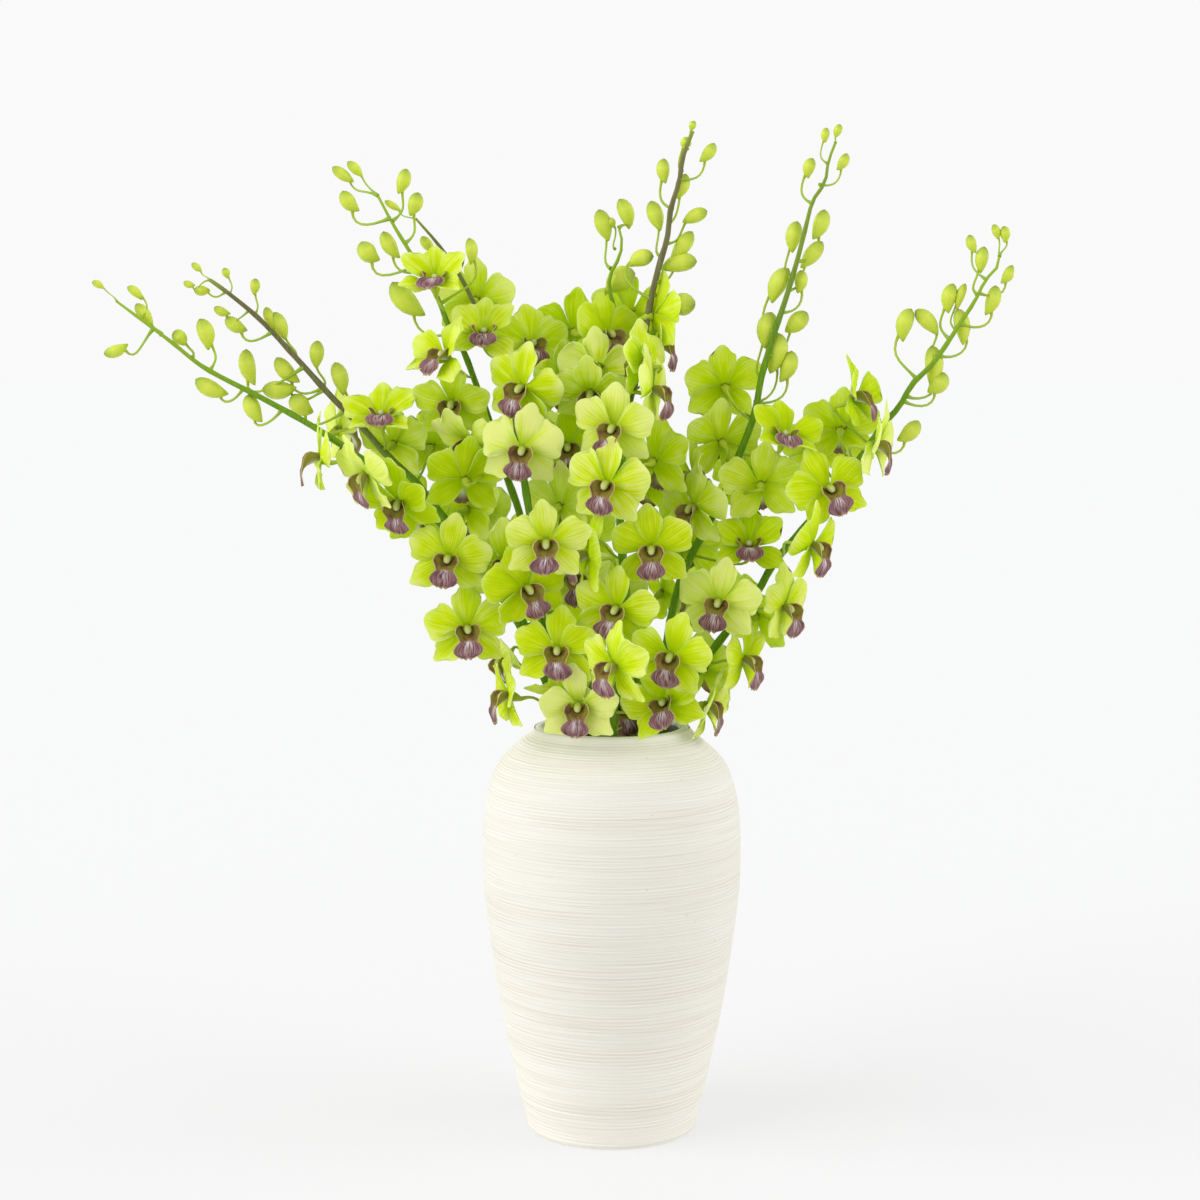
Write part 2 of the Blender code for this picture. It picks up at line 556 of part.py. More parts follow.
def grow_sprays(vase_tree):
    """Every spray's solids, by name: its stem, then its buds, then its flowers in the order of the lists."""
    draw = random.Random(SEED)
    stems = {name: stem_of(*stem) for name, stem in STEMS.items()}
    solids = {name: [stem_solid(*stem)] for name, stem in stems.items()}
    trees = {name: [tree_of(found[0])] for name, found in solids.items()}
    flowers = {name: FLOWERS[name] + far_flowers(name, stem[1], draw) for name, stem in stems.items()}
    for pieces, place in ((BUDS, place_bud), (flowers, place_flower)):
        for name, (_, stem) in stems.items():
            others = [tree for other, found in trees.items() if other != name for tree in found]
            for piece in pieces[name]:
                solid = place(stem, piece, [vase_tree] + others, trees[name])
                if solid is None:
                    print("no room in", name, "for", [round(value) for value in piece])
                    continue
                solids[name].append(solid)
                trees[name].append(tree_of(solid))
    return solids


def keep_one_body(mesh):
    """Leaves the mesh's largest body: a hollow that fusing sealed is filled, and a loose scrap is dropped."""
    whole = bmesh.new()
    whole.from_mesh(mesh)
    left = set(whole.verts)
    bodies = []
    while left:
        body = edge = {left.pop()}
        while edge:
            edge = {link.other_vert(vert) for vert in edge for link in vert.link_edges} & left
            left -= edge
            body = body | edge
        bodies.append(body)
    largest = max(bodies, key=len)
    bmesh.ops.delete(whole, geom=[vert for vert in whole.verts if vert not in largest], context="VERTS")
    whole.to_mesh(mesh)
    whole.free()


def fused(name, shapes, collection, look):
    """One solid from all the shapes, by a union on a collection that is then emptied. The exact solver
    leaves open edges where two petals cross, so this uses the manifold one."""
    pieces = new_collection(name + "_pieces")
    base = new_object(name, to_mesh(shapes[0], name), collection, look)
    for shape in shapes[1:]:
        new_object(name + "_piece", to_mesh(shape, name + "_piece"), pieces, look)
    union = base.modifiers.new("fuse", "BOOLEAN")
    union.operation = "UNION"
    union.operand_type = "COLLECTION"
    union.collection = pieces
    union.solver = "MANIFOLD"
    mesh = finished_mesh(base)
    for done in [base] + list(pieces.objects):
        bpy.data.objects.remove(done, do_unlink=True)
    bpy.data.collections.remove(pieces)
    keep_one_body(mesh)
    mesh.shade_smooth()
    mesh.set_sharp_from_angle(angle=SHARP_ANGLE)
    return new_object(name, mesh, collection, look)


def turned(name, profile, collection, look):
    """A solid turned about Z from a profile of (radius, height) points that starts and ends on the axis."""
    line = bmesh.new()
    verts = [line.verts.new((radius, 0, height)) for radius, height in profile]
    for first, second in zip(verts, verts[1:]):
        line.edges.new((first, second))
    made = new_object(name, to_mesh(line, name), collection, look)
    screw = made.modifiers.new("turn", "SCREW")
    screw.steps = VASE_STEPS
    screw.render_steps = VASE_STEPS
    screw.use_merge_vertices = True
    screw.merge_threshold = MERGE_DISTANCE
    return made


def vase_inside():
    """The inner wall's points, from the neck down."""
    return [(radius * MM - VASE_WALL, height * MM) for height, radius in VASE_PROFILE[2:-1:2]]


def add_vase(collection):
    """The vase, turned from the middle of its floor up the inner wall, over the rim and down to its foot."""
    outer = [(radius * MM, height * MM) for height, radius in VASE_PROFILE]
    inner = vase_inside()
    floor = [(0.0, VASE_FLOOR), (inner[-1][0] - FLOOR_ROUND, VASE_FLOOR)]
    rim_radius = outer[0][0]
    below_rim = VASE_HEIGHT - RIM_ROUND
    rim = [
        (rim_radius - VASE_WALL, below_rim), (rim_radius - VASE_WALL + RIM_ROUND, VASE_HEIGHT),
        (rim_radius - RIM_ROUND, VASE_HEIGHT), (rim_radius, below_rim),
    ]
    foot = [(FOOT_RADIUS, 0.0), (0.0, 0.0)]
    look = material("ceramic", (0.80, 0.78, 0.69), 0.7)
    return turned("vase", floor + inner[::-1] + rim + outer[1:] + foot, collection, look)


def add_water(collection, cutters, stems):
    """The water up to its level, a gap inside the vase, with a plain hole for each stem."""
    inner = vase_inside()
    wall = [(radius - GAP, height) for radius, height in inner if height < WATER_LEVEL]
    over, under = inner[len(inner) - len(wall) - 1], inner[len(inner) - len(wall)]
    share = (WATER_LEVEL - under[1]) / (over[1] - under[1])
    brim = (under[0] + (over[0] - under[0]) * share - GAP, WATER_LEVEL)
    bottom = VASE_FLOOR + GAP
    profile = [(0.0, WATER_LEVEL), brim] + wall + [(wall[-1][0] - FLOOR_ROUND, bottom), (0.0, bottom)]
    look = material("water", (0.75, 0.86, 0.82), 0.05)
    water = turned("water", profile, collection, look)
    radius = STEM_FOOT_RADIUS + GAP / math.cos(math.pi / STEM_SIDES)
    for name, (low, above) in stems.items():
        ends = [low + (low - above[0]) * HOLE_OVERRUN, above[0]]
        hole = to_mesh(swept_tube(ends, [radius, radius], STEM_SIDES), "hole_" + name)
        cutter = new_object("hole_" + name, hole, cutters, look)
        cutter.hide_render = True
        cutter.display_type = "WIRE"
        cut = water.modifiers.new("hole", "BOOLEAN")
        cut.operation = "DIFFERENCE"
        cut.object = cutter
    return water


def main():
    clear_scene()
    parts = new_collection("dendrobium orchid in vase")
    cutters = new_collection("cutters")
    vase = add_vase(parts)
    add_water(parts, cutters, {name: stem_of(*stem) for name, stem in STEMS.items()})
    vase_shape = bmesh.new()
    vase_shape.from_mesh(finished_mesh(vase))
    vase_tree = tree_of(vase_shape)
    vase_shape.free()
    look = material("orchid", (0.45, 0.62, 0.06), 0.5)
    for name, shapes in grow_sprays(vase_tree).items():
        fused(name, shapes, parts, look)


main()
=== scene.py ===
# %% [markdown]
# # Dendrobium orchids in a combed ceramic vase
#
# Ten cut sprays of lime-green dendrobium orchids stand in water in a tall, round-shouldered vase. The CAD
# solids give every place and size. Each step swaps some of them for finer pieces that keep their form: a vase
# with comb marks, round stems, curved stalks, plump buds, and flowers with thin arched petals and a ruffled lip.
#
# Everything is in metres with +Z up, and the front of the bouquet faces -Y.

# %% Load the frame
import math
import random

import bmesh
import bpy
from mathutils import Matrix, Vector
from mathutils.geometry import interpolate_bezier, intersect_point_line
from mathutils.kdtree import KDTree


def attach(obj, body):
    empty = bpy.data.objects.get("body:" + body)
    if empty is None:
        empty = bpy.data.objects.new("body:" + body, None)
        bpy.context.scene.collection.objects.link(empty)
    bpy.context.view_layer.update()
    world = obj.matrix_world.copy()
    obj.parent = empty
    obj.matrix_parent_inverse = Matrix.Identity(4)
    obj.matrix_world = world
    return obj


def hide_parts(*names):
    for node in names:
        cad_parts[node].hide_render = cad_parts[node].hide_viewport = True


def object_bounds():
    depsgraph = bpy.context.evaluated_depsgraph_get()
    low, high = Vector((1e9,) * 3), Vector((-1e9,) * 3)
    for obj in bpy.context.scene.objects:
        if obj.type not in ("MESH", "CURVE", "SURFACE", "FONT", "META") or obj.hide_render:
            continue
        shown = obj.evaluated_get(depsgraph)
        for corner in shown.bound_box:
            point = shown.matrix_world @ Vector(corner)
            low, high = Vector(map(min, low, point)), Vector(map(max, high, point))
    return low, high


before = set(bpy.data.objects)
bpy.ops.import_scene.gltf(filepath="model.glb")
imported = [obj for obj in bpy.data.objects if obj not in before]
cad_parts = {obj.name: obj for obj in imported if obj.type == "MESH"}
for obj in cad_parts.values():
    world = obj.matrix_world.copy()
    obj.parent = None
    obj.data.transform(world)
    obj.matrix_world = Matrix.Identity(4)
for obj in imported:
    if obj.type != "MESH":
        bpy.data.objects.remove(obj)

MM = 0.001
scene = bpy.context.scene
cad_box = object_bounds()
print("the CAD box is", [tuple(round(side, 3) for side in corner) for corner in cad_box])

# %% [markdown]
# ## Camera
#
# The photograph was taken from a little above the flowers with a longish lens, so the vase's sides look
# nearly straight and its rim is a thin ellipse. The camera could be found by trial, but a fit is quicker: the
# ellipse of the rim against that of the foot gives the tilt, and the width of the vase gives the distance.

# %% Place the camera
EYE = Vector((-7.26, -1400.0, 476.0)) * MM
CAMERA_PITCH = 0.106


def new_object(name, data):
    """The data as an object of the scene."""
    made = bpy.data.objects.new(name, data)
    scene.collection.objects.link(made)
    return made


camera_settings = bpy.data.cameras.new("camera")
camera_settings.sensor_fit = "HORIZONTAL"
camera_settings.sensor_width = 36.0
camera_settings.lens = 69.4
camera_settings.clip_start = 0.05
camera = new_object("camera", camera_settings)
camera.location = EYE
camera.rotation_euler = (math.pi / 2 - CAMERA_PITCH, 0, 0)
scene.camera = camera
print("the eye is", round(EYE.length, 3), "m from the vase's foot")

# %% [markdown]
# ## Colours and nodes
#
# A photograph's colours are sRGB and Blender's sockets take linear ones, so one function turns hex codes into
# linear colours. Another adds a node with its settings and links, so each material reads as a short recipe.

# %% Helpers for materials
def linear(code):
    """An sRGB colour such as #C3D940 as linear red, green and blue, with an alpha of 1."""
    channels = [int(code[k:k + 2], 16) / 255 for k in (1, 3, 5)]
    return (*(c / 12.92 if c <= 0.04045 else ((c + 0.055) / 1.055) ** 2.4 for c in channels), 1.0)


def add(tree, kind, *values, stops=(), out=None, **named):
    """Adds one node, such as "Bump", "Math ADD" or "Mix RGBA", and gives its output called out, or its first.

    The values set or link its inputs in use, in their order. A named value with a capital does that for one
    input, and any other is a setting of the node. A hex code is a colour, and stops are those of a ramp.
    """
    kind, _, choice = kind.partition(" ")
    node = tree.nodes.new("ShaderNode" + kind)
    if choice:
        setattr(node, "data_type" if kind == "Mix" else "operation", choice)
    for name, value in named.items():
        if name.islower():
            setattr(node, name, value)
    wanted = list(zip([socket for socket in node.inputs if socket.enabled], values))
    wanted += [(node.inputs[name], value) for name, value in named.items() if not name.islower()]
    for socket, value in wanted:
        if isinstance(value, bpy.types.NodeSocket):
            tree.links.new(value, socket)
        else:
            socket.default_value = linear(value) if isinstance(value, str) else value
    for k, (position, colour) in enumerate(stops):
        stop = node.color_ramp.elements[k] if k < 2 else node.color_ramp.elements.new(position)
        stop.position = position
        stop.color = linear(colour)
    return node.outputs[out] if out else [socket for socket in node.outputs if socket.enabled][0]


def new_material(name, **sockets):
    """A material with one Principled shader, whose plain values are set on its own sockets."""
    made = bpy.data.materials.new(name)
    made.use_nodes = True
    shader = made.node_tree.nodes["Principled BSDF"]
    for socket, value in sockets.items():
        shader.inputs[socket.replace("_", " ")].default_value = value
    return made, made.node_tree, shader


def finish_look(tree, shader, colour, relief=None, glow=None, through=0.0):
    """Links a colour and a relief, and mixes in the share of light that shines through in the glow's colour."""
    tree.links.new(colour, shader.inputs["Base Color"])
    if relief:
        tree.links.new(relief, shader.inputs["Normal"])
    if through:
        lit = add(tree, "BsdfTranslucent", glow or colour, *([relief] if relief else []))
        both = add(tree, "MixShader", through, shader.outputs[0], lit)
        tree.links.new(both, tree.nodes["Material Output"].inputs["Surface"])


print("#C3D940 is linear", [round(c, 3) for c in linear("#C3D940")[:3]])

# %% [markdown]
# ## Studio
#
# The picture is high key: white paper all around and soft light from everywhere, with a little more of it, a
# trace cooler, from both sides. Area lamps would light the floor unevenly and show its edge, but a white world
# with two very wide suns doesn't. The floor's grey is chosen so that, lit by all three, it is just as bright
# as the world behind it, and the horizon disappears. Half of that brightness is the floor's own, as on a
# light table, which keeps the shadow round the foot faint.

# %% Light and floor
PAPER_WHITE = 0.95
SUNS = (("left softbox", 1.9, (-0.9, -0.32, 0.42)), ("right softbox", 1.3, (0.94, -0.14, 0.36)))
COOL_WHITE = (0.965, 0.985, 1.0)
SUN_WIDTH = math.radians(60.0)
SELF_LIT = 0.5
FLOOR_RADIUS = 40.0

scene.view_settings.view_transform = "Standard"
world = bpy.data.worlds.new("white studio")
world.use_nodes = True
world.node_tree.nodes["Background"].inputs["Color"].default_value = (PAPER_WHITE, PAPER_WHITE, PAPER_WHITE, 1)
scene.world = world

floor_light = PAPER_WHITE
for name, strength, direction in SUNS:
    sun = bpy.data.lights.new(name, "SUN")
    sun.energy = strength
    sun.color = COOL_WHITE
    sun.angle = SUN_WIDTH
    new_object(name, sun).rotation_euler = Vector(direction).to_track_quat("Z", "Y").to_euler()
    floor_light += strength * Vector(direction).normalized().z / math.pi
floor_grey = PAPER_WHITE / floor_light
print("the floor's grey is", round(floor_grey, 3))

lit_grey = floor_grey * (1 - SELF_LIT)
paper, _, _ = new_material(
    "white studio paper", Roughness=1.0, Specular_IOR_Level=0.0, Base_Color=(lit_grey, lit_grey, lit_grey, 1),
    Emission_Color=(1, 1, 1, 1), Emission_Strength=PAPER_WHITE * SELF_LIT,
)
floor_shape = bmesh.new()
bmesh.ops.create_circle(floor_shape, cap_ends=True, segments=64, radius=FLOOR_RADIUS)
floor_mesh = bpy.data.meshes.new("floor")
floor_shape.to_mesh(floor_mesh)
floor_shape.free()
floor_mesh.materials.append(paper)
floor = new_object("floor", floor_mesh)

# %% [markdown]
# ## Making a piece
#
# Every petal, lip, stalk and bud starts as a flat grid whose points are then moved: bent into a petal, or
# rolled up into a tube and welded along its seam. The grid brings its UV map with it, u across and v along,
# so veins can follow each petal wherever it points. A number on every point, its tone, keeps one flower a
# little paler than the next.

# %% Helpers for pieces
WELD = 0.00001
TUBE_SIDES = 8


def new_shape():
    shape = bmesh.new()
    shape.loops.layers.uv.new("UVMap")
    shape.verts.layers.float.new("tone")
    return shape


def add_grid(shape, columns, rows, place, tone):
    """A grid whose points go where place says, from their shares u across and v along."""
    made = bmesh.ops.create_grid(shape, x_segments=columns, y_segments=rows, size=1.0, calc_uvs=True)
    layer = shape.verts.layers.float["tone"]
    for vert in made["verts"]:
        vert[layer] = tone
        vert.co = place((vert.co.x + 1) / 2, (vert.co.y + 1) / 2)
    return made["verts"]


def thicken(shape, sheet, thickness):
    """Extrudes a sheet of points along its own normals into a closed blade, and returns the new skin's faces."""
    faces = list(dict.fromkeys(face for vert in sheet for face in vert.link_faces))
    for part in faces + sheet:
        part.normal_update()
    made = bmesh.ops.extrude_face_region(shape, geom=faces, use_keep_orig=True)["geom"]
    for vert in made:
        if isinstance(vert, bmesh.types.BMVert):
            vert.co += vert.normal * thickness
    return [face for face in made if isinstance(face, bmesh.types.BMFace)]


def add_tube(shape, points, radii, sides, tone):
    """A round tube along the points, rolled up from a grid and closed at both ends."""
    points = [points[0]] + list(points) + [points[-1]]
    radii = [0.0] + list(radii) + [0.0]
    across = (points[-1] - points[0]).orthogonal().normalized()
    rings = []
    for k, (point, radius) in enumerate(zip(points, radii)):
        along = (points[min(k + 1, len(points) - 1)] - points[max(k - 1, 0)]).normalized()
        across = (across - along * across.dot(along)).normalized()
        rings.append((point, across * radius, along.cross(across) * radius))

    def place(u, v):
        middle, one, other = rings[round(v * (len(rings) - 1))]
        return middle + one * math.cos(2 * math.pi * u) + other * math.sin(2 * math.pi * u)

    verts = add_grid(shape, sides, len(points) - 1, place, tone)
    bmesh.ops.remove_doubles(shape, verts=verts, dist=WELD)


def finish_piece(name, shape, materials, node, sharp=60.0):
    """The shape, held inside the CAD box, as an object that rides on the vase and stands for one CAD node."""
    for vert in shape.verts:
        vert.co = [min(max(value, low), high) for value, low, high in zip(vert.co, *cad_box)]
    mesh = bpy.data.meshes.new(name)
    shape.to_mesh(mesh)
    shape.free()
    mesh.shade_smooth()
    mesh.set_sharp_from_angle(angle=math.radians(sharp))
    for look in materials:
        mesh.materials.append(look)
    piece = new_object(name, mesh)
    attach(piece, "root")
    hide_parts(node)
    print(name, "has", len(mesh.polygons), "faces")


# %% [markdown]
# ## Vase clay
#
# The vase is matt earthenware under a cream slip. While it turned on the wheel, a comb left level scratches
# in it about 2.1 mm apart, with finer ones between. Dust in them reads as thin brownish lines that come and
# go in bands. A sine of the height gives the teeth, one wave for each spacing, and a slow noise makes them
# waver. On the sloping shoulder, height alone would spread them, so a share of the radius is taken off it.
# Noises squeezed flat along Z add the finer scratches, wear the lines away here and there and gather them in
# bands. They fade out at the smooth neck. Up the shoulder to the neck and down at the foot the slip is painted
# whiter: painted light, which lifts the shade that the bouquet casts on the shoulder and stands in for light
# bounced up from the floor onto the foot.

# %% Combed earthenware
COMB_SPACING = 2.1 * MM
COMB_WAVER = 2 * MM
NECK_HEIGHT = 244 * MM
SHOULDER_SHARE = 0.45
WAVER_LENGTH = 111 * MM
SPECK_SPACING = 5.26 * MM
# How wide and how high the cells of each noise are: fine scratches, worn places and bands
CLAY_CELLS = ((62.5 * MM, COMB_SPACING / 4), (71.4 * MM, 5 * MM), (200 * MM, 14 * MM))


def drawn_out(tree, place, scale, detail=1.0):
    """A noise that is drawn out along the axes where its scale is small."""
    return add(tree, "TexNoise", add(tree, "Mapping", place, Scale=scale), 1.0, detail)


earthenware, tree, shader = new_material("combed earthenware under cream slip", Roughness=0.82, IOR=1.5)
place = add(tree, "TexCoord", out="Object")
waver = add(tree, "Math SUBTRACT", add(tree, "TexNoise", place, 1 / WAVER_LENGTH, 1.0), 0.5)
waver = add(tree, "Math MULTIPLY", waver, COMB_WAVER)
radius = add(tree, "VectorMath MULTIPLY", place, (1, 1, 0))
radius = add(tree, "VectorMath LENGTH", radius)
lift = add(tree, "Math MULTIPLY_ADD", radius, -SHOULDER_SHARE, waver)
wavering = add(tree, "VectorMath ADD", place, add(tree, "CombineXYZ", Z=lift))
teeth = add(tree, "SeparateXYZ", wavering, out="Z")
teeth = add(tree, "Math MULTIPLY", teeth, 2 * math.pi / COMB_SPACING)
teeth = add(tree, "Math SINE", teeth)
fine, worn, bands = [drawn_out(tree, wavering, (1 / wide, 1 / wide, 1 / high)) for wide, high in CLAY_CELLS]
depth = add(tree, "MapRange", worn, 0.35, 0.65, 0.02, 0.22)
scratches = add(tree, "Math MULTIPLY_ADD", teeth, depth, fine)
darker = add(tree, "MapRange", scratches, 0.75, 0.2, 0.0, 0.62)
banded = add(tree, "MapRange", bands, 0.36, 0.66, 0.55, 1.0)
height = add(tree, "SeparateXYZ", place, out="Z")
below_neck = add(tree, "MapRange", height, NECK_HEIGHT + 4 * MM, NECK_HEIGHT)
stain = add(tree, "Math MULTIPLY", darker, banded)
stain = add(tree, "Math MULTIPLY", stain, below_neck)
# Painted light: the slip is painted whiter up the shoulder, against the bouquet's shade, and towards the foot, for
# light bounced up from the floor
shoulder = add(tree, "MapRange", height, 226 * MM, NECK_HEIGHT)
foot = add(tree, "MapRange", height, 120 * MM, 0.0, 0.0, 0.6)
painted_light_neck_and_foot = add(tree, "Math MAXIMUM", shoulder, foot)
slip = add(tree, "Mix RGBA", painted_light_neck_and_foot, "#DCDAD1", "#ECE8DE")
slip = add(tree, "Mix RGBA", stain, slip, "#BDB5A0")
specks = add(tree, "MapRange", add(tree, "TexNoise", place, 1 / SPECK_SPACING, 2.0), 0.76, 0.82)
slip = add(tree, "Mix RGBA", specks, slip, "#B4A88E")
grooves = add(tree, "Math MULTIPLY", scratches, below_neck)
finish_look(tree, shader, slip, add(tree, "Bump", 0.42, 0.6 * MM, Height=grooves))
print("the comb's lines are", round(COMB_SPACING / MM, 1), "mm apart")

# %% [markdown]
# ## Vase
#
# A thrown vase is a turned shape, so its profile is spun round Z. The profile is the CAD one, drawn as a
# smooth curve through the same points, and between the foot and the neck each of its points steps in or out
# by a fraction of a millimetre, which leaves real comb grooves that show along the outline too.

# %% Curves
def smooth_through(points, first, per_span):
    """A smooth curve through the points, leaving the first one along first."""
    tangents = [first.normalized()]
    tangents += [(after - before).normalized() for before, after in zip(points, points[2:])]
    tangents.append((points[-1] - points[-2]).normalized())
    route = [points[0]]
    for k, (low, high) in enumerate(zip(points, points[1:])):
        third = (high - low).length / 3
        handles = low + tangents[k] * third, high - tangents[k + 1] * third
        route += interpolate_bezier(low, *handles, high, per_span + 1)[1:]
    return [Vector(point) for point in route]


def evenly(route, step):
    """Points along the route about one step apart, its two ends included."""
    lengths = [0.0]
    for before, after in zip(route, route[1:]):
        lengths.append(lengths[-1] + (after - before).length)
    count = max(2, round(lengths[-1] / step))
    points = []
    k = 0
    for i in range(count + 1):
        wanted = lengths[-1] * i / count
        while k < len(route) - 2 and lengths[k + 1] < wanted:
            k += 1
        share = (wanted - lengths[k]) / (lengths[k + 1] - lengths[k])
        points.append(route[k].lerp(route[k + 1], share))
    return points


# %% Spin the vase
# Its heights and radii from the rim down, and its other sizes, in millimetres
VASE_PROFILE = (
    (250.0, 47.0), (245.5, 50.5), (239.5, 57.5), (228.0, 69.0), (215.0, 74.6), (197.0, 78.2), (174.0, 79.1),
    (148.0, 78.4), (116.0, 74.6), (78.0, 68.8), (39.0, 61.0), (1.2, 52.4),
)
VASE_TOP = 250.0
VASE_HEIGHT = VASE_TOP * MM
VASE_WALL = 6.0
VASE_FLOOR = 7.0
FOOT_RADIUS = 51.4
RIM_ROUND = 2.4
GROOVE_DEPTH = 0.12
HOLLOW_STEP = 6.0
VASE_STEPS = 144


def rim_round(edge, side, turns):
    """Points of the quarter round at the wall's top, on the outer side, -1, or the inner one, 1."""
    return [
        Vector((edge + side * RIM_ROUND * (1 - math.cos(turn)), 0, VASE_TOP - RIM_ROUND * (1 - math.sin(turn))))
        for turn in map(math.radians, turns)
    ]


comb = random.Random(3)
outside = [Vector((radius, 0, height)) for height, radius in VASE_PROFILE]
inside = [Vector((point.x - VASE_WALL, 0, point.z)) for point in outside[2:-1:2]]
wall = evenly(smooth_through(outside, Vector((1, 0, -1)), 8), COMB_SPACING / MM / 2)
for k, point in enumerate(wall):
    if 4 < point.z < NECK_HEIGHT / MM:
        point.x -= GROOVE_DEPTH * (k % 2) * comb.uniform(0.2, 1.0)
wall[0].z -= RIM_ROUND
outer_round = rim_round(outside[0].x, -1, (30, 60, 90))
inner_round = rim_round(outside[0].x - VASE_WALL, 1, (90, 60, 30, 0))
hollow = evenly(smooth_through(inner_round[-1:] + inside, Vector((0, 0, -1)), 8), HOLLOW_STEP)
corner = [Vector((inside[-1].x - 3, 0, 12)), Vector((inside[-1].x - 9, 0, VASE_FLOOR)), Vector((0, 0, VASE_FLOOR))]
profile = [Vector((0, 0, 0)), Vector((FOOT_RADIUS, 0, 0))] + wall[::-1] + outer_round + inner_round[:-1]
profile += hollow + corner

vase_shape = bmesh.new()
points = [vase_shape.verts.new(point * MM) for point in profile]
line = [vase_shape.edges.new(pair) for pair in zip(points, points[1:])]
bmesh.ops.spin(
    vase_shape, geom=points + line, axis=(0, 0, 1), cent=(0, 0, 0), angle=2 * math.pi, steps=VASE_STEPS,
    use_merge=True,
)
bmesh.ops.remove_doubles(vase_shape, verts=vase_shape.verts, dist=WELD)
bmesh.ops.recalc_face_normals(vase_shape, faces=vase_shape.faces)
finish_piece("vase_body", vase_shape, [earthenware], "vase", 50.0)

# %% [markdown]
# ## Water
#
# The water fills the vase to a little over half its height. Its CAD solid already has the right form, with a
# hole for each stem, so it only gets the look of water: clear, with an index of refraction of 1.333 and a
# faint ripple on its surface.

# %% Clear water
RIPPLE_WIDTH = 16.7 * MM

water, tree, shader = new_material(
    "clear vase water", Roughness=0.02, IOR=1.333, Transmission_Weight=1.0, Base_Color=(0.93, 0.98, 0.95, 1)
)
ripple = add(tree, "TexNoise", add(tree, "TexCoord", out="Object"), 1 / RIPPLE_WIDTH)
tree.links.new(add(tree, "Bump", 0.1, 1 * MM, Height=ripple), shader.inputs["Normal"])
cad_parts["water"].material_slots[0].material = water

# %% [markdown]
# ## Where everything stands
#
# The lists below are the CAD model's own, read in millimetres in the upright plane through the vase's
# axis, as the eye sees it. Each flower and bud then found room for itself in depth, so a list alone doesn't
# say where it ended up. So this step works out every place that a flower may have taken, and keeps the one
# whose petal ends are corners of the CAD solid.

# %% The CAD model's stems
NECK_RING = 33.0 * MM
FLOOR_RING = 29.0 * MM
TWIST = math.radians(130.0)
STEM_FOOT_RADIUS = 2.4 * MM
STEM_STEP = 36.0 * MM
ROUTE_STEPS = 8
LAST_SHARE = 0.98
GAP = 0.3 * MM

# The angle at which each stem passes the mouth, and its route above the mouth as (x, z, y), with y only where
# it isn't 0
STEMS = {
    "spray_far_left": (200.0, (
        (-40, 276, -15), (-56, 311, -20), (-77, 343, -24), (-98, 367, -26), (-120, 390, -26), (-147, 410, -24),
        (-180, 432, -20), (-212, 450, -16), (-246, 468, -12), (-265, 483, -9), (-281, 495, -7), (-297, 507, -5))),
    "spray_left": (170.0, (
        (-39, 278, 8), (-55, 315, 8), (-74, 343, 8), (-91, 363, 8), (-107, 384, 9), (-120, 400, 10), (-137, 416, 11),
        (-150, 431, 12), (-168, 449, 12), (-186, 469, 12), (-211, 496, 10), (-230, 512, 8), (-241, 520, 8))),
    "spray_left_tall": (140.0, (
        (-31, 275, 23), (-40, 305, 23), (-49, 345, 20), (-56, 380, 17), (-64, 403, 14), (-72, 430, 10), (-82, 458, 6),
        (-90, 479, 4), (-98, 492, 2), (-105, 510), (-120, 535), (-131, 553), (-140, 570))),
    "spray_left_back": (235.0, (
        (-24, 275, -30), (-32, 300, -31), (-42, 340, -28), (-50, 380, -22), (-56, 420, -14), (-60, 450, -4),
        (-65, 471, 3), (-70, 480, 8), (-80, 500, 18), (-92, 524, 24), (-104, 541, 26), (-117, 556, 26))),
    "spray_centre_back": (60.0, (
        (15, 275, 33), (10, 320, 36), (5, 380, 36), (4, 430, 32), (6, 463, 28), (3, 495, 22), (-2, 520, 18),
        (3, 531, 16), (6, 541, 16), (4, 551, 16))),
    "spray_centre": (305.0, (
        (17, 272, -29), (10, 320, -31), (5, 370, -27), (6, 410, -20), (11, 450, -12), (19, 485, -4), (23, 507),
        (28, 528), (33, 545), (35, 562), (40, 578), (42, 592), (48, 608))),
    "spray_right_centre": (20.0, (
        (31, 275, 11), (34, 305, 11), (42, 340, 9), (56, 369, 7), (66, 387, 5), (78, 418, 2), (86, 440), (90, 462),
        (98, 490), (104, 508), (111, 532), (116, 552), (120, 567), (127, 578), (129, 590), (133, 601))),
    "spray_right": (345.0, (
        (41, 266, -8), (50, 280, -8), (65, 301, -8), (88, 331, -8), (98, 349, -6), (118, 373, -4), (147, 409),
        (164, 434), (173, 444), (181, 458), (193, 470), (211, 497), (218, 508), (224, 520), (231, 528), (232, 534))),
    "spray_front": (270.0, (
        (3, 270, -42), (9, 292, -52), (16, 315, -60), (19, 334, -64))),
    "spray_back": (95.0, (
        (-4, 280, 42), (-9, 320, 56), (-15, 360, 70), (-20, 400, 82), (-22, 440, 92), (-20, 474, 98))),
}
print("the CAD model has", len(STEMS), "stems")

# %% The CAD model's open flowers
# Where each petal or sepal points, 90 degrees being straight up, then how far out its last CAD station is and
# how wide to each side
TEPALS = ((25.0, 28.0, 5.0), (90.0, 29.0, 0.0), (155.0, 28.0, 5.0), (220.0, 28.0, 0.0), (320.0, 28.0, 0.0))
PETALS = (0, 2)
SEPAL_LEAN_SHARE = 0.6
TEPAL_HALF_THICKNESS = 0.4
TEPAL_CUP = 4.5
TEPAL_CURL = 7.0
TEPAL_NARROWING = 0.5
SPUR = Vector((0.0, -2.0, -6.5)) * MM
SHIFTS = (0.0, -6.0, 6.0, -12.0, 12.0, -18.0, 18.0, -25.0, 25.0, -32.0, 32.0)
DROPS = (12.0, 24.0, 2.0)

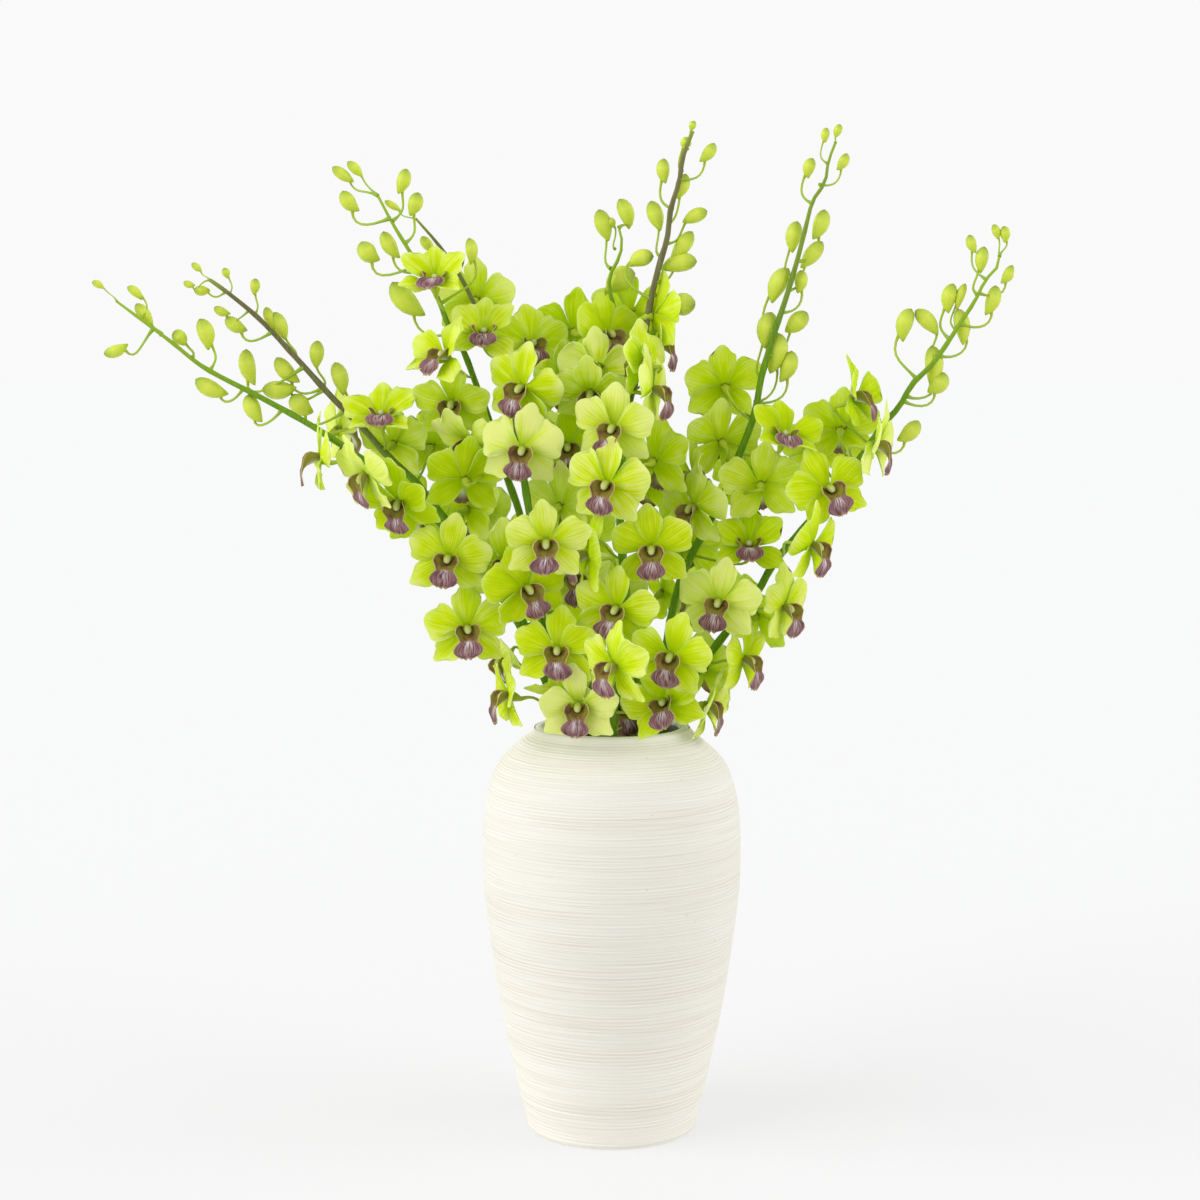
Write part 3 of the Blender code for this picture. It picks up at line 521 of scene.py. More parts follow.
# Open flowers as (x, z, depth behind the stem, heading, nod, cup, roll). Heading 0 looks at the eye and 90
# to the right; nod is upward; cup is how far the petals lean forward; roll turns the lip to the right and is
# left out where it hangs straight down.
FLOWERS = {
    "spray_far_left": (
        (-176, 413, -6, -80, 5, 15), (-148, 403, -20, -55, -30, 15), (-128, 387, -28, -25, -30, 12),
        (-99, 352, -30, -8, 0, 5, -5), (-88, 309, -28, 5, 0, 5, 4), (-62, 268, -20, -70, 0, 10)),
    "spray_left": (
        (-166, 430, 14, 120, 10, 20), (-139, 436, -14, 0, 50, 38), (-132, 422, 16, 155, 10, 10),
        (-117, 382, 12, 200, -30, 10), (-110, 420, 14, 180, 15, 15), (-88, 382, 12, 150, -10, 10),
        (-65, 350, -30, 0, -5, 8, 8), (-66, 292, -24, -60, -50, 10)),
    "spray_left_tall": (
        (-106, 517, -8, -5, 52, 44), (-99, 473, -24, -45, 30, 30), (-96, 446, -28, -12, -12, 8),
        (-86, 424, -22, -35, -40, 10), (-89, 400, -10, 195, 10, 10), (-82, 508, 14, 165, 10, 10)),
    "spray_left_back": (
        (-77, 486, -14, 0, 42, 38), (-54, 455, -28, -28, -5, 5, -15), (-54, 418, -32, -8, -8, 5, -8),
        (-40, 362, -30, 0, -12, 8), (-52, 334, -26, 25, -10, 8, 15), (-33, 296, -30, -5, 0, 5),
        (-27, 270, -12, -20, -50, 15), (-49, 481, 18, 20, 15, 10), (-30, 458, 20, 30, -10, 10),
        (-28, 420, 18, 10, -5, 10), (-25, 340, 10, 20, 0, 10), (-32, 384, 16, 150, 0, 10)),
    "spray_centre_back": (
        (-23, 489, 8, 195, 0, 8), (-3, 487, -20, 35, 5, 8), (-9, 466, -16, 175, -15, 8), (-13, 453, -24, -5, -35, 12),
        (11, 500, -14, 180, 10, 20)),
    "spray_centre": (
        (20, 470, -14, -120, 0, 10), (26, 481, 4, 75, 5, 20), (24, 499, 16, 120, 0, 25), (24, 454, 2, 70, -5, 10),
        (1, 431, -26, -18, -5, 6, -8), (-3, 397, -32, -18, -5, 4, -8), (25, 411, 12, 150, -5, 10),
        (24, 358, -26, -3, -8, 5, 2), (3, 321, -30, -18, -3, 5, -12), (-14, 354, -6, -75, 0, 15)),
    "spray_right_centre": (
        (68, 456, 8, 185, 10, 8), (66, 423, 10, 205, 15, 10), (103, 424, -16, 20, 48, 38, -15),
        (90, 397, -8, 180, 5, 8), (83, 358, -20, 0, 42, 36), (50, 402, 4, -70, 0, 10), (50, 383, 0, -45, -10, 10),
        (48, 360, 12, 200, 0, 8), (56, 284, 10, 150, 0, 12)),
    "spray_right": (
        (145, 449, -6, 70, 15, 35), (138, 430, 14, 170, 10, 12), (158, 421, -4, 78, -5, 15),
        (131, 394, -24, 15, 8, 8, 20), (125, 419, 16, 180, 20, 12), (121, 360, -10, 60, -10, 10),
        (104, 322, -12, 55, -5, 10), (80, 290, -12, 65, -5, 10), (57, 262, -8, 75, -10, 20),
        (65, 325, -28, -12, 0, 5, -8)),
    "spray_front": (
        (36, 292, -16, -15, -5, 6, -10), (33, 263, -12, -25, 15, 20, 20), (2, 286, -14, -50, -5, 8),
        (6, 262, -14, 15, -10, 22, 10), (-12, 284, 16, 170, 0, 10), (-20, 262, -24, -10, -10, 24),
        (12, 256, 2, 185, 10, 14)),
}
print("the photograph shows", sum(map(len, FLOWERS.values())), "open flowers")

# %% The CAD model's buds
BUD_FULLNESS = 0.53
BUD_JOINT = (0.24, 0.75)
BUD_DROP = 8.0
BUD_DEPTHS = (5.0, -5.0, 12.0, -12.0, 20.0, -20.0)

# Buds as (tip x, tip z, heel x, heel z, width)
BUDS = {
    "spray_far_left": (
        (-312, 519, -305, 515, 4), (-291, 516, -282, 508, 5), (-286, 506, -276, 493, 7), (-306, 476, -291, 482, 6.5),
        (-264, 489, -257, 481, 8), (-248, 497, -243, 478, 9), (-251, 461, -231, 452, 9), (-219, 452, -211, 435, 9)),
    "spray_left": (
        (-252, 530, -246, 525, 4), (-257, 519, -250, 517, 4), (-251, 514, -241, 514, 5.5),
        (-233, 527, -231, 521, 4.5), (-214, 521, -215, 511, 5.5), (-239, 504, -229, 500, 5),
        (-232, 498, -219, 490, 7.5), (-208, 504, -203, 490, 6), (-203, 501, -196, 484, 8), (-220, 479, -215, 457, 9),
        (-202, 474, -188, 459, 9), (-211, 455, -190, 456, 10), (-192, 452, -180, 441, 11), (-177, 484, -178, 467, 8),
        (-167, 471, -162, 451, 9)),
    "spray_left_tall": (
        (-158, 590, -149, 581, 5.5), (-167, 587, -154, 578, 6), (-161, 573, -151, 561, 8),
        (-123, 586, -128, 571, 7.5), (-116, 572, -121, 558, 8), (-137, 549, -127, 533, 8), (-150, 543, -139, 532, 10),
        (-132, 519, -112, 499, 12), (-86, 545, -85, 529, 6.5)),
    "spray_left_back": (
        (-136, 567, -126, 561, 4), (-114, 546, -106, 537, 6)),
    "spray_centre_back": (
        (-8, 562, -2, 543, 9), (-3, 556, 1, 551, 5), (4, 568, 10, 550, 8.5), (14, 524, -3, 512, 13)),
    "spray_centre": (
        (49, 614, 47, 608, 4), (46, 604, 43, 597, 6), (61, 601, 52, 590, 6.5), (31, 592, 32, 577, 7),
        (44, 583, 39, 568, 7.5), (57, 561, 42, 554, 7.5), (48, 549, 35, 532, 8.5), (23, 567, 29, 549, 8.5),
        (25, 534, 10, 528, 9), (51, 531, 29, 526, 10), (50, 505, 33, 503, 12)),
    "spray_right_centre": (
        (136, 612, 133, 604, 4.5), (128, 610, 127, 601, 4.5), (140, 595, 134, 585, 5.5), (120, 592, 117, 580, 6.5),
        (119, 583, 118, 568, 8), (111, 555, 108, 536, 8.5), (127, 562, 120, 544, 8.5), (126, 543, 113, 527, 8.5),
        (106, 527, 96, 506, 10), (113, 526, 111, 512, 7), (96, 501, 92, 479, 11), (117, 501, 104, 489, 10),
        (99, 489, 95, 464, 12), (108, 478, 101, 459, 9)),
    "spray_right": (
        (228, 553, 231, 544, 4.5), (234, 552, 235, 542, 5.5), (214, 547, 218, 536, 5.5), (223, 540, 221, 524, 7),
        (240, 529, 233, 518, 6), (230, 517, 224, 499, 8), (205, 518, 202, 500, 8), (212, 518, 207, 502, 5),
        (207, 503, 211, 481, 8.5), (180, 503, 175, 483, 9), (182, 502, 196, 487, 8.5), (192, 481, 192, 456, 10),
        (200, 465, 190, 453, 10), (185, 436, 172, 424, 9)),
    "spray_back": (
        (-20, 489, -19, 476, 6), (-30, 480, -24, 469, 8), (-9, 479, -14, 466, 8)),
}
print("it shows", sum(map(len, BUDS.values())), "buds")

# %% The CAD model's far side
# Flowers on the far side of each stem, which the eye doesn't see: how many, and between which heights
FAR_FLOWERS = {
    "spray_far_left": (1, 320, 380), "spray_left": (1, 330, 390), "spray_left_tall": (3, 285, 440),
    "spray_centre_back": (4, 290, 450), "spray_right_centre": (3, 285, 420), "spray_right": (2, 300, 390),
    "spray_back": (5, 285, 460),
}
FAR_DEPTH = 26.0
FAR_SIDE = 16.0
FAR_RISE = 10.0
FAR_TURN = 2.2
FAR_SCATTER = 5.0
FAR_TILT = 15.0
FAR_CUPS = (4.0, 16.0)
FAR_SEED = 7
print("up to", sum(count for count, _, _ in FAR_FLOWERS.values()), "flowers face away on the far side")

# %% [markdown]
# The next cell holds the geometry that the CAD model places things with. A point that the eye sees at x, z in
# the upright plane can lie at any depth along the same line of sight, and a stem runs through such points on
# a smooth curve. In the vase the stems cross like the rulings of one hyperboloid, so none meets another.

# %% Lines of sight and stems
def seen_at(x, z, y=0.0):
    """The point at depth y that the eye sees at x, z in the upright plane through the vase's axis."""
    on_plane = Vector((x, 0.0, z)) * MM
    return EYE + (on_plane - EYE) * ((y * MM - EYE.y) / -EYE.y)


def seen_from_eye(point):
    """Where the eye sees a point, in the upright plane through the vase's axis."""
    return EYE + (point - EYE) * (-EYE.y / (point.y - EYE.y))


def stem_route(angle, route):
    """The stem's low end in the vase, and its smooth centre line above the mouth."""
    turn = math.radians(angle)
    neck = Vector((NECK_RING * math.cos(turn), NECK_RING * math.sin(turn), VASE_HEIGHT))
    turn += TWIST
    low = Vector((FLOOR_RING * math.cos(turn), FLOOR_RING * math.sin(turn), VASE_FLOOR * MM + GAP))
    low.z += STEM_FOOT_RADIUS * (neck - low).to_2d().length / (neck - low).length
    return low, smooth_through([neck] + [seen_at(*point) for point in route], neck - low, ROUTE_STEPS)


def nearest_on(stem, place):
    """The point on the stem's centre line nearest to place, and never its very tip."""
    found = []
    for low, high in zip(stem, stem[1:]):
        _, share = intersect_point_line(place, low, high)
        found.append(low.lerp(high, min(max(share, 0.0), LAST_SHARE)))
    return min(found, key=lambda point: (point - place).length)


def nearest_seen(stem, x, z):
    """The point on the stem nearest to x, z as the eye sees it."""
    wanted = Vector((x, 0, z)) * MM
    shares = [k / ROUTE_STEPS for k in range(ROUTE_STEPS + 1)]
    steps = [low.lerp(high, share) for low, high in zip(stem, stem[1:]) for share in shares]
    return min(steps, key=lambda point: (seen_from_eye(point) - wanted).length)


def flower_frame(place, heading, nod, roll):
    """The matrix that stands a flower at place, looking along its heading and nod."""
    h, n, r = math.radians(heading), math.radians(nod), math.radians(roll)
    face = Vector((math.sin(h) * math.cos(n), -math.cos(h) * math.cos(n), math.sin(n)))
    up = Vector((-math.sin(h) * math.sin(n), math.cos(h) * math.sin(n), math.cos(n)))
    right = up.cross(face)
    top = up * math.cos(r) - right * math.sin(r)
    side = right * math.cos(r) + up * math.sin(r)
    return Matrix.Translation(place) @ Matrix((side, top, face)).transposed().to_4x4()


def arch(reach):
    """How far forward a petal stands at this distance from the flower's middle."""
    share = reach / TEPALS[0][1]
    return TEPAL_CUP * share - TEPAL_CURL * share * share


def tepal_axes(turn, lean):
    """The directions out along a petal, to its side and forward from its face."""
    flat = Vector((math.cos(turn), math.sin(turn), 0))
    aside = Vector((-math.sin(turn), math.cos(turn), 0))
    out = flat * math.cos(lean) + Vector((0, 0, math.sin(lean)))
    face = Vector((0, 0, math.cos(lean))) - flat * math.sin(lean)
    return out, aside, face


def tepal_lean(k, cup):
    return math.radians(cup) * (1.0 if k in PETALS else SEPAL_LEAN_SHARE)


stem_lines = {name: stem_route(*stem) for name, stem in STEMS.items()}
stem_chords = {name: evenly(route, STEM_STEP) for name, (_, route) in stem_lines.items()}
print("the longest stem has", max(map(len, stem_chords.values())), "CAD stretches")

# %% [markdown]
# A flower's five petal and sepal ends make 14 corners of the CAD solid, and a bud's tip makes one. Some of
# them were swallowed where a flower was fused to its neighbour, so the place that finds the most of them wins.

# %% Ask the CAD solids where each flower and bud went
MATCH = 0.03 * MM
FEWEST_CORNERS = 4


def corners_of(node):
    """A search tree of the CAD node's corners."""
    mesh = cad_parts[node].data
    tree = KDTree(len(mesh.vertices))
    for k, vert in enumerate(mesh.vertices):
        tree.insert(vert.co, k)
    tree.balance()
    return tree


def end_corners(cup):
    """The corners of the CAD flower's petal and sepal ends, in its own frame."""
    corners = []
    for k, (turn, reach, half_width) in enumerate(TEPALS):
        lean = tepal_lean(k, cup)
        out, aside, face = tepal_axes(math.radians(turn), lean)
        end = out * reach + face * arch(reach)
        wide = aside * half_width * (1.0 - TEPAL_NARROWING * lean)
        deep = face * TEPAL_HALF_THICKNESS
        corners += [end + deep, end - deep] if half_width == 0 else [
            end + wide + deep, end + wide - deep, end - wide + deep, end - wide - deep]
    return [corner * MM for corner in corners]


def find_flower(stem, tree, x, z, depth, heading, nod, cup, roll=0.0):
    """The cup, frame and stalk's foot at the place where most of the flower's corners are found, or None."""
    corners = end_corners(cup)
    best, found = FEWEST_CORNERS - 1, None
    for drop in DROPS:
        near = nearest_seen(stem, x, z - drop)
        for shift in SHIFTS:
            stand = flower_frame(seen_at(x, z, near.y / MM + depth + shift), heading, nod, roll)
            score = sum(tree.find(stand @ corner)[2] < MATCH for corner in corners)
            if score > best:
                best = score
                found = cup, stand, nearest_on(stem, stand @ SPUR - Vector((0, 0, drop * MM)))
    return found


def find_bud(stem, tree, tip_x, tip_z, heel_x, heel_z, width):
    """The width, tip, heel and stalk's foot at the place where the bud's tip is found, or None."""
    near = nearest_seen(stem, heel_x, heel_z - BUD_DROP)
    for depth in BUD_DEPTHS:
        y = near.y / MM + depth
        tip, heel = seen_at(tip_x, tip_z, y), seen_at(heel_x, heel_z, y)
        if tree.find(tip)[2] < MATCH:
            return width, tip, heel, nearest_on(stem, heel - Vector((0, 0, BUD_DROP * MM)))
    return None


def far_flowers(name, stem, draw):
    """Flowers by rule on the side of the stem away from the eye, turned out at random."""
    count, low, high = FAR_FLOWERS.get(name, (0, 0, 0))
    found = []
    for k in range(count):
        height = (low + (high - low) * (k + 0.5) / count) * MM
        seen = seen_from_eye(min(stem, key=lambda point: abs(point.z - height))) / MM
        side = FAR_SIDE * (-1) ** k + draw.uniform(-FAR_SCATTER, FAR_SCATTER)
        heading = 180 - side * FAR_TURN + draw.uniform(-FAR_TILT, FAR_TILT)
        nod, cup = draw.uniform(-FAR_TILT, FAR_TILT), draw.uniform(*FAR_CUPS)
        found.append((seen.x + side, seen.z + FAR_RISE, FAR_DEPTH, heading, nod, cup))
    return found


far_draw = random.Random(FAR_SEED)
flower_places, bud_places = {}, {}
for name, stem in stem_chords.items():
    tree = corners_of(name)
    flowers = [*FLOWERS.get(name, ()), *far_flowers(name, stem, far_draw)]
    buds = BUDS.get(name, ())
    for find, listed, places in ((find_flower, flowers, flower_places), (find_bud, buds, bud_places)):
        places[name] = [place for place in (find(stem, tree, *row) for row in listed) if place]
    print(name, "has", len(flower_places[name]), "of", len(flowers), "flowers and",
          len(bud_places[name]), "of", len(buds), "buds")

# %% [markdown]
# ## Petal tissue
#
# Orchid petals and sepals are a few layers of watery cells in a waxy skin. They scatter light inside, so a
# petal with white paper behind it glows yellow-green, and one in front of others is deep green. A Principled
# shader with the 1.45 of plant wax gives the soft gloss, and a Translucent one mixed in lets light through.
# The veins run from the base to the tip about 1.5 mm apart: a noise that is drawn out along the petal's own
# UV map, with a light and a dark cell for each vein. Edges are paler, where the tissue is thinnest, and the
# base is yellower. The tone makes the noise's third axis, so that no two flowers are marked alike.

# %% Petals and sepals
# How wide and long a petal is, in millimetres, and how far apart its veins are
PETAL_SIZE = (20.0, 26.0)
VEIN_SPACING = 1.5
TONE_SCALE = 40.0
WAX_IOR = 1.45


def new_tissue(name, roughness, gloss):
    """A waxy plant tissue, with a point's shares across and along its sheet or tube, from the UV map."""
    made, tree, shader = new_material(name, Roughness=roughness, IOR=WAX_IOR, Specular_IOR_Level=gloss)
    across, along, _ = add(tree, "SeparateXYZ", add(tree, "UVMap", uv_map="UVMap")).node.outputs
    return made, tree, shader, across, along


def aside_from(tree, across):
    """How far a share across lies from the middle line: 0 on the line and 1 at the edges."""
    aside = add(tree, "Math MULTIPLY_ADD", across, 2.0, -1.0)
    return add(tree, "Math ABSOLUTE", aside)


def tissue_noise(tree, across, along, size, cell, detail=1.0):
    """A noise on a sheet of this size with cells of that one, both across and along, other for every tone."""
    seat = add(tree, "CombineXYZ", across, along, add(tree, "Attribute", out="Fac", attribute_name="tone"))
    return drawn_out(tree, seat, (size[0] / cell[0], size[1] / cell[1], TONE_SCALE), detail)


petal_tissue, tree, shader, across, along = new_tissue("dendrobium petal tissue", 0.6, 0.04)
aside = aside_from(tree, across)
veins = tissue_noise(tree, across, along, PETAL_SIZE, (VEIN_SPACING / 2, 20.0))
patches = tissue_noise(tree, across, along, PETAL_SIZE, (10.0, 13.0))
tone = add(tree, "Attribute", out="Fac", attribute_name="tone")
pale = patches
for share, weight in ((veins, 1.4), (along, 0.6), (tone, 0.7)):
    pale = add(tree, "Math MULTIPLY_ADD", share, weight, pale)
pale = add(tree, "MapRange", pale, 1.14, 2.38)
lime = add(tree, "ValToRGB", pale, stops=((0.0, "#C0D800"), (0.5, "#E2EC1C"), (1.0, "#FBF8A2")))
side = add(tree, "Math POWER", aside, 9.0)
tip = add(tree, "Math POWER", along, 18.0)
edge = add(tree, "Math MAXIMUM", side, tip)
edge = add(tree, "Math MULTIPLY", edge, 0.3)
lime = add(tree, "Mix RGBA", edge, lime, "#F4F8DC")
base = add(tree, "MapRange", along, 0.4, 0.05, 0.0, 0.8)
lime = add(tree, "Mix RGBA", base, lime, "#BCD400")
glow = add(tree, "Mix RGBA", 0.75, lime, "#D0EE00")
finish_look(tree, shader, lime, add(tree, "Bump", 0.35, 0.25 * MM, Height=veins), glow, 0.46)
print("about", round(PETAL_SIZE[0] / VEIN_SPACING), "veins cross a petal")

# %% [markdown]
# ## Petals
#
# A dendrobium flower has two broad round petals, a sepal that stands up behind them and two that spread
# below. Each is a sheet of 42 faces. Its rows get their half widths from a short list, the last rows bow so
# that the end is round, and the sheet arches along the same curve as its CAD blade, with a rolled section,
# a crease along the midrib, a little twist and a soft ripple along the edges. Extruding it gives it the half
# millimetre of a real one.

# %% A flower's five petals and sepals
PETAL_ROWS = (1.5, 3.4, 6.4, 9.2, 10.9, 11.3, 10.6, 8.0)
DORSAL_ROWS = (2.0, 3.6, 5.7, 7.3, 8.2, 8.4, 7.8, 5.9)
LATERAL_ROWS = (2.8, 4.6, 6.6, 7.9, 8.4, 8.0, 6.8, 4.2)
TEPAL_ROWS = (PETAL_ROWS, DORSAL_ROWS, PETAL_ROWS, LATERAL_ROWS, LATERAL_ROWS)
# How far the end bows, how far in front of the CAD blade the sheet lies, and how far its sides may be rolled
PETAL_FORM = (0.22, 0.3, (-4.8, 2.4))
SEPAL_FORM = (0.24, -0.6, (-2.6, 3.4))
TEPAL_COLUMNS = 6
TEPAL_START = 1.5
CREASE = 0.45
WAVES = 1.4
TEPAL_THICKNESS = 0.5 * MM
SHRINK = 0.985


def add_tepal(shape, stand, k, cup, tone, draw):
    turn, reach, _ = TEPALS[k]
    rows = TEPAL_ROWS[k]
    bow, layer, rolls = PETAL_FORM if k in PETALS else SEPAL_FORM
    lean = tepal_lean(k, cup) + math.radians(draw.uniform(-12, 10))
    out, aside, face = tepal_axes(math.radians(turn + draw.uniform(-8, 8)), lean)
    reach *= SHRINK * draw.uniform(0.93, 1.0)
    broad = draw.uniform(0.97, 1.11) * (1.0 - 0.3 * lean)
    twist = math.radians(draw.uniform(-18, 18))
    roll = draw.uniform(*rolls)
    ripple = draw.uniform(0.4, 1.8)
    phases = draw.uniform(0, 1), draw.uniform(0, 1)

    def place(u, v):
        s = 1 - 2 * u
        half_width = rows[round(v * (len(rows) - 1))] * broad
        far = TEPAL_START + (reach - TEPAL_START) * (v - bow * v ** 4 * s * s)
        wave = math.sin(2 * math.pi * (WAVES * v + phases[s > 0])) * ripple * s * s * v
        wide = aside * math.cos(twist * v) + face * math.sin(twist * v)
        deep = arch(far) + layer + roll * s * s * math.sin(math.pi * min(v, 0.75)) + wave
        deep -= CREASE * max(0.0, 1 - 3 * abs(s)) * (1 - v)
        return stand @ ((out * far + wide * half_width * s + face * deep) * MM)

    return add_grid(shape, TEPAL_COLUMNS, len(rows) - 1, place, tone)


def add_tepals(shape, stand, cup, tone, draw):
    cup += draw.uniform(-9, 7)
    sheets = []
    for k in range(len(TEPALS)):
        sheets += add_tepal(shape, stand, k, cup, tone, draw)
    thicken(shape, sheets, TEPAL_THICKNESS)


# %% [markdown]
# ## Lip
#
# The sixth petal is the lip, an insect's landing place. Its base is rolled up into a trough with two rounded
# olive-brown side lobes, and its end spreads into a ruffled mauve fan with a white streak and fine dark
# veins. It is one sheet again: a list of stations gives its middle line, half width and how far its sides
# are rolled up, and the fan's edge gets a ruffle.

# %% Lip tissue
# How wide and long the lip is when it lies flat, in millimetres
LIP_SIZE = (19.5, 22.4)

lip_tissue, tree, shader, across, along = new_tissue("mauve-brown lip tissue", 0.6, 0.2)
aside = aside_from(tree, across)
veins = tissue_noise(tree, across, along, LIP_SIZE, (VEIN_SPACING / 2, 5.6), 2.0)
mottled = tissue_noise(tree, across, along, LIP_SIZE, (3.9, 4.48), 2.0)
lobes = add(tree, "ValToRGB", mottled, stops=((0.35, "#8A8C26"), (0.52, "#8A7630"), (0.7, "#704C38")))
fan = add(tree, "ValToRGB", veins, stops=((0.32, "#5C3C40"), (0.5, "#8A6264"), (0.72, "#B48E8E")))
to_fan = add(tree, "MapRange", along, 0.44, 0.58)
brown = add(tree, "Mix RGBA", to_fan, lobes, fan)
middle = add(tree, "MapRange", aside, 0.5, 0.12)
fading = add(tree, "MapRange", along, 0.84, 0.58)
rising = add(tree, "MapRange", along, 0.44, 0.52)
broken = add(tree, "MapRange", veins, 0.4, 0.62)
streak = middle
for share in (fading, rising, broken):
    streak = add(tree, "Math MULTIPLY", streak, share)
brown = add(tree, "Mix RGBA", streak, brown, "#F0E4E6")
brink = add(tree, "Math MAXIMUM", aside, along)
brink = add(tree, "MapRange", brink, 0.91, 1.0, 0.0, 0.85)
brown = add(tree, "Mix RGBA", brink, brown, "#D2C084")
finish_look(tree, shader, brown, add(tree, "Bump", 0.5, 0.3 * MM, Height=veins), through=0.25)

# %% [markdown]
# Seen from below, as on the flowers that look up, a lip is cream white along its keel, olive beside it and
# mauve only near the ruffled end. So the lower skin of the sheet gets a finish of its own.

# %% Underside of the lip
lip_keel, tree, shader, across, along = new_tissue("cream keel under the lip", 0.6, 0.2)
cream = ((0.16, "#F0EEEA"), (0.4, "#B4A69A"), (0.62, "#8E8A3A"))
cream = add(tree, "ValToRGB", aside_from(tree, across), stops=cream)
ending = add(tree, "MapRange", along, 0.68, 0.86)
finish_look(tree, shader, add(tree, "Mix RGBA", ending, cream, "#8A6A60"))

# %% The lip's sheet
# The middle line's y and z in the flower's frame, the half width, and how many degrees each side is rolled up
LIP_STATIONS = (
    (-0.8, 0.0, 4.2, 100), (-1.4, 1.8, 7.0, 108), (-2.2, 3.8, 9.2, 104), (-3.2, 5.8, 10.2, 88),
    (-4.2, 7.6, 9.4, 66), (-5.4, 9.0, 6.4, 44), (-6.6, 9.9, 5.4, 28), (-8.4, 10.5, 7.6, 16),
    (-10.8, 10.8, 8.8, 6), (-13.2, 10.7, 8.5, -4), (-15.4, 10.2, 6.8, -10), (-17.1, 9.6, 4.0, -14),
)
LIP_COLUMNS = 12
LIP_BOW = 2.0
LIP_NOTCH = 0.9
RUFFLES = 3.0
SCALLOP = 0.3


def add_lip(shape, stand, tone, draw):
    ruffle, phase = draw.uniform(0.5, 1.0), draw.uniform(0, 2 * math.pi)
    swing = math.radians(draw.uniform(-12, 12))
    last = len(LIP_STATIONS) - 1

    def place(u, v):
        s = 2 * u - 1
        k = round(v * last)
        y, z, half_width, rolled = LIP_STATIONS[k]
        before, after = LIP_STATIONS[max(k - 1, 0)], LIP_STATIONS[min(k + 1, last)]
        onward = Vector((0, after[0] - before[0], after[1] - before[1])).normalized()
        upward = Vector((0, onward.z, -onward.y))
        bend = math.radians(rolled)
        radius = half_width / bend
        fan = max(0.0, (v - 0.5) / 0.5)
        wave = math.sin(RUFFLES * math.pi * s + phase) * ruffle * fan * max(s * s, v ** 4)
        side = radius * math.sin(bend * s)
        rise = radius * (1 - math.cos(bend * s)) + wave
        back = (LIP_BOW * s * s + LIP_NOTCH * math.exp(-25 * s * s)) * fan * fan
        back += SCALLOP * math.cos(LIP_COLUMNS * math.pi * u) * fan ** 4
        point = Vector((side, y, z)) + upward * rise - onward * back
        return stand @ (Matrix.Rotation(swing * fan, 3, "Y") @ point * MM)

    sheet = add_grid(shape, LIP_COLUMNS, last, place, tone)
    for face in thicken(shape, sheet, TEPAL_THICKNESS):
        face.material_index = 1


# %% [markdown]
# ## Column
#
# The pale knob over the lip is the column, which holds the pollen under a white cap. It is waxy and short: a
# tube that bends forward over the trough of the lip and closes in a round end.

# %% The column
# Its middle line's y and z, and its radius
COLUMN = (
    (0.8, -1.0, 2.0), (1.2, 1.2, 2.2), (1.2, 3.2, 2.3), (0.8, 4.8, 2.4), (-0.2, 6.0, 2.2), (-1.4, 6.7, 1.5),
    (-2.0, 7.0, 0.0),
)
column_tissue, tree, shader, _, along = new_tissue("waxy column", 0.5, 0.3)
wax = add(tree, "ValToRGB", along, stops=((0.2, "#76861C"), (0.55, "#A2AE48"), (0.9, "#D0D49C")))
finish_look(tree, shader, wax)


def add_column(shape, stand, tone):
    points = [stand @ (Vector((0, y, z)) * MM) for y, z, _ in COLUMN]
    add_tube(shape, points, [radius * MM for _, _, radius in COLUMN], TUBE_SIDES, tone)


# %% [markdown]
# ## Stalks
#
# Every flower and bud hangs on a slender stalk that leaves the stem at a slant and bends into the back of
# the flower, where it widens to the ovary and the spur. A Bezier curve between the two directions gives the
# bend. Stalks are juicy green with a yellow tinge towards the flower.

# %% Stalks
stalk_skin, tree, shader, _, along = new_tissue("green flower stalk", 0.5, 0.25)
green = ((0.0, "#7C9C20"), (0.5, "#A2BA34"), (0.85, "#A4B428"), (1.0, "#7C8A18"))
finish_look(tree, shader, add(tree, "ValToRGB", along, stops=green))

# Radii in millimetres along a flower's stalk, from its foot to the spur, and along a bud's
STALK_POINTS = 8
STALK_RADII = (1.0, 0.85, 0.85, 0.85, 0.85, 0.85, 1.0, 1.5, 2.4, 3.1, 2.0)
BUD_STALK_RADII = (1.6, 0.9, 0.75, 0.75, 0.75, 0.75, 0.8, 1.2, 1.6)
STALK_SIDES = 6
# How much a stalk leaves along the stem rather than away from it, at its side and at its tip
SIDE_LIFT = 0.15
TIP_LIFT = 1.2
OVARY = (Vector((0, -1.2, -4.0)) * MM, Vector((0, -0.4, -1.6)) * MM, Vector((0, 0, 0)))


def along_stem(stem, foot):
    """The stem's direction at the stretch nearest to foot."""
    low, high = min(zip(stem, stem[1:]), key=lambda ends: (ends[0] + ends[1] - foot * 2).length)
    return (high - low).normalized()


def stalk_points(stem, foot, joint, arrival):
    """A bend from the stem's foot to the joint, arriving along the arrival direction."""
    reach = (joint - foot).length
    upward = along_stem(stem, foot)
    outward = joint - foot
    outward = (outward - upward * outward.dot(upward)).normalized()
    lift = TIP_LIFT if foot == stem[-1] else SIDE_LIFT
    leaving = (upward * lift + outward).normalized()
    return interpolate_bezier(foot, foot + leaving * reach * 0.55, joint - arrival * reach * 0.5, joint, STALK_POINTS)


def add_flower_stalk(shape, stem, stand, foot, tone):
    back = stand.to_3x3() @ Vector((0, -0.25, 1)).normalized()
    points = stalk_points(stem, foot, stand @ SPUR, back) + [stand @ point for point in OVARY]
    add_tube(shape, points, [radius * MM for radius in STALK_RADII], STALK_SIDES, tone)


# %% [markdown]
# ## Stems
#
# A stem is a fibrous cane, thickest at its cut foot. It tapers to its pale green youngest end and swells
# slightly at its knees. On some sprays its upper part has turned mauve.

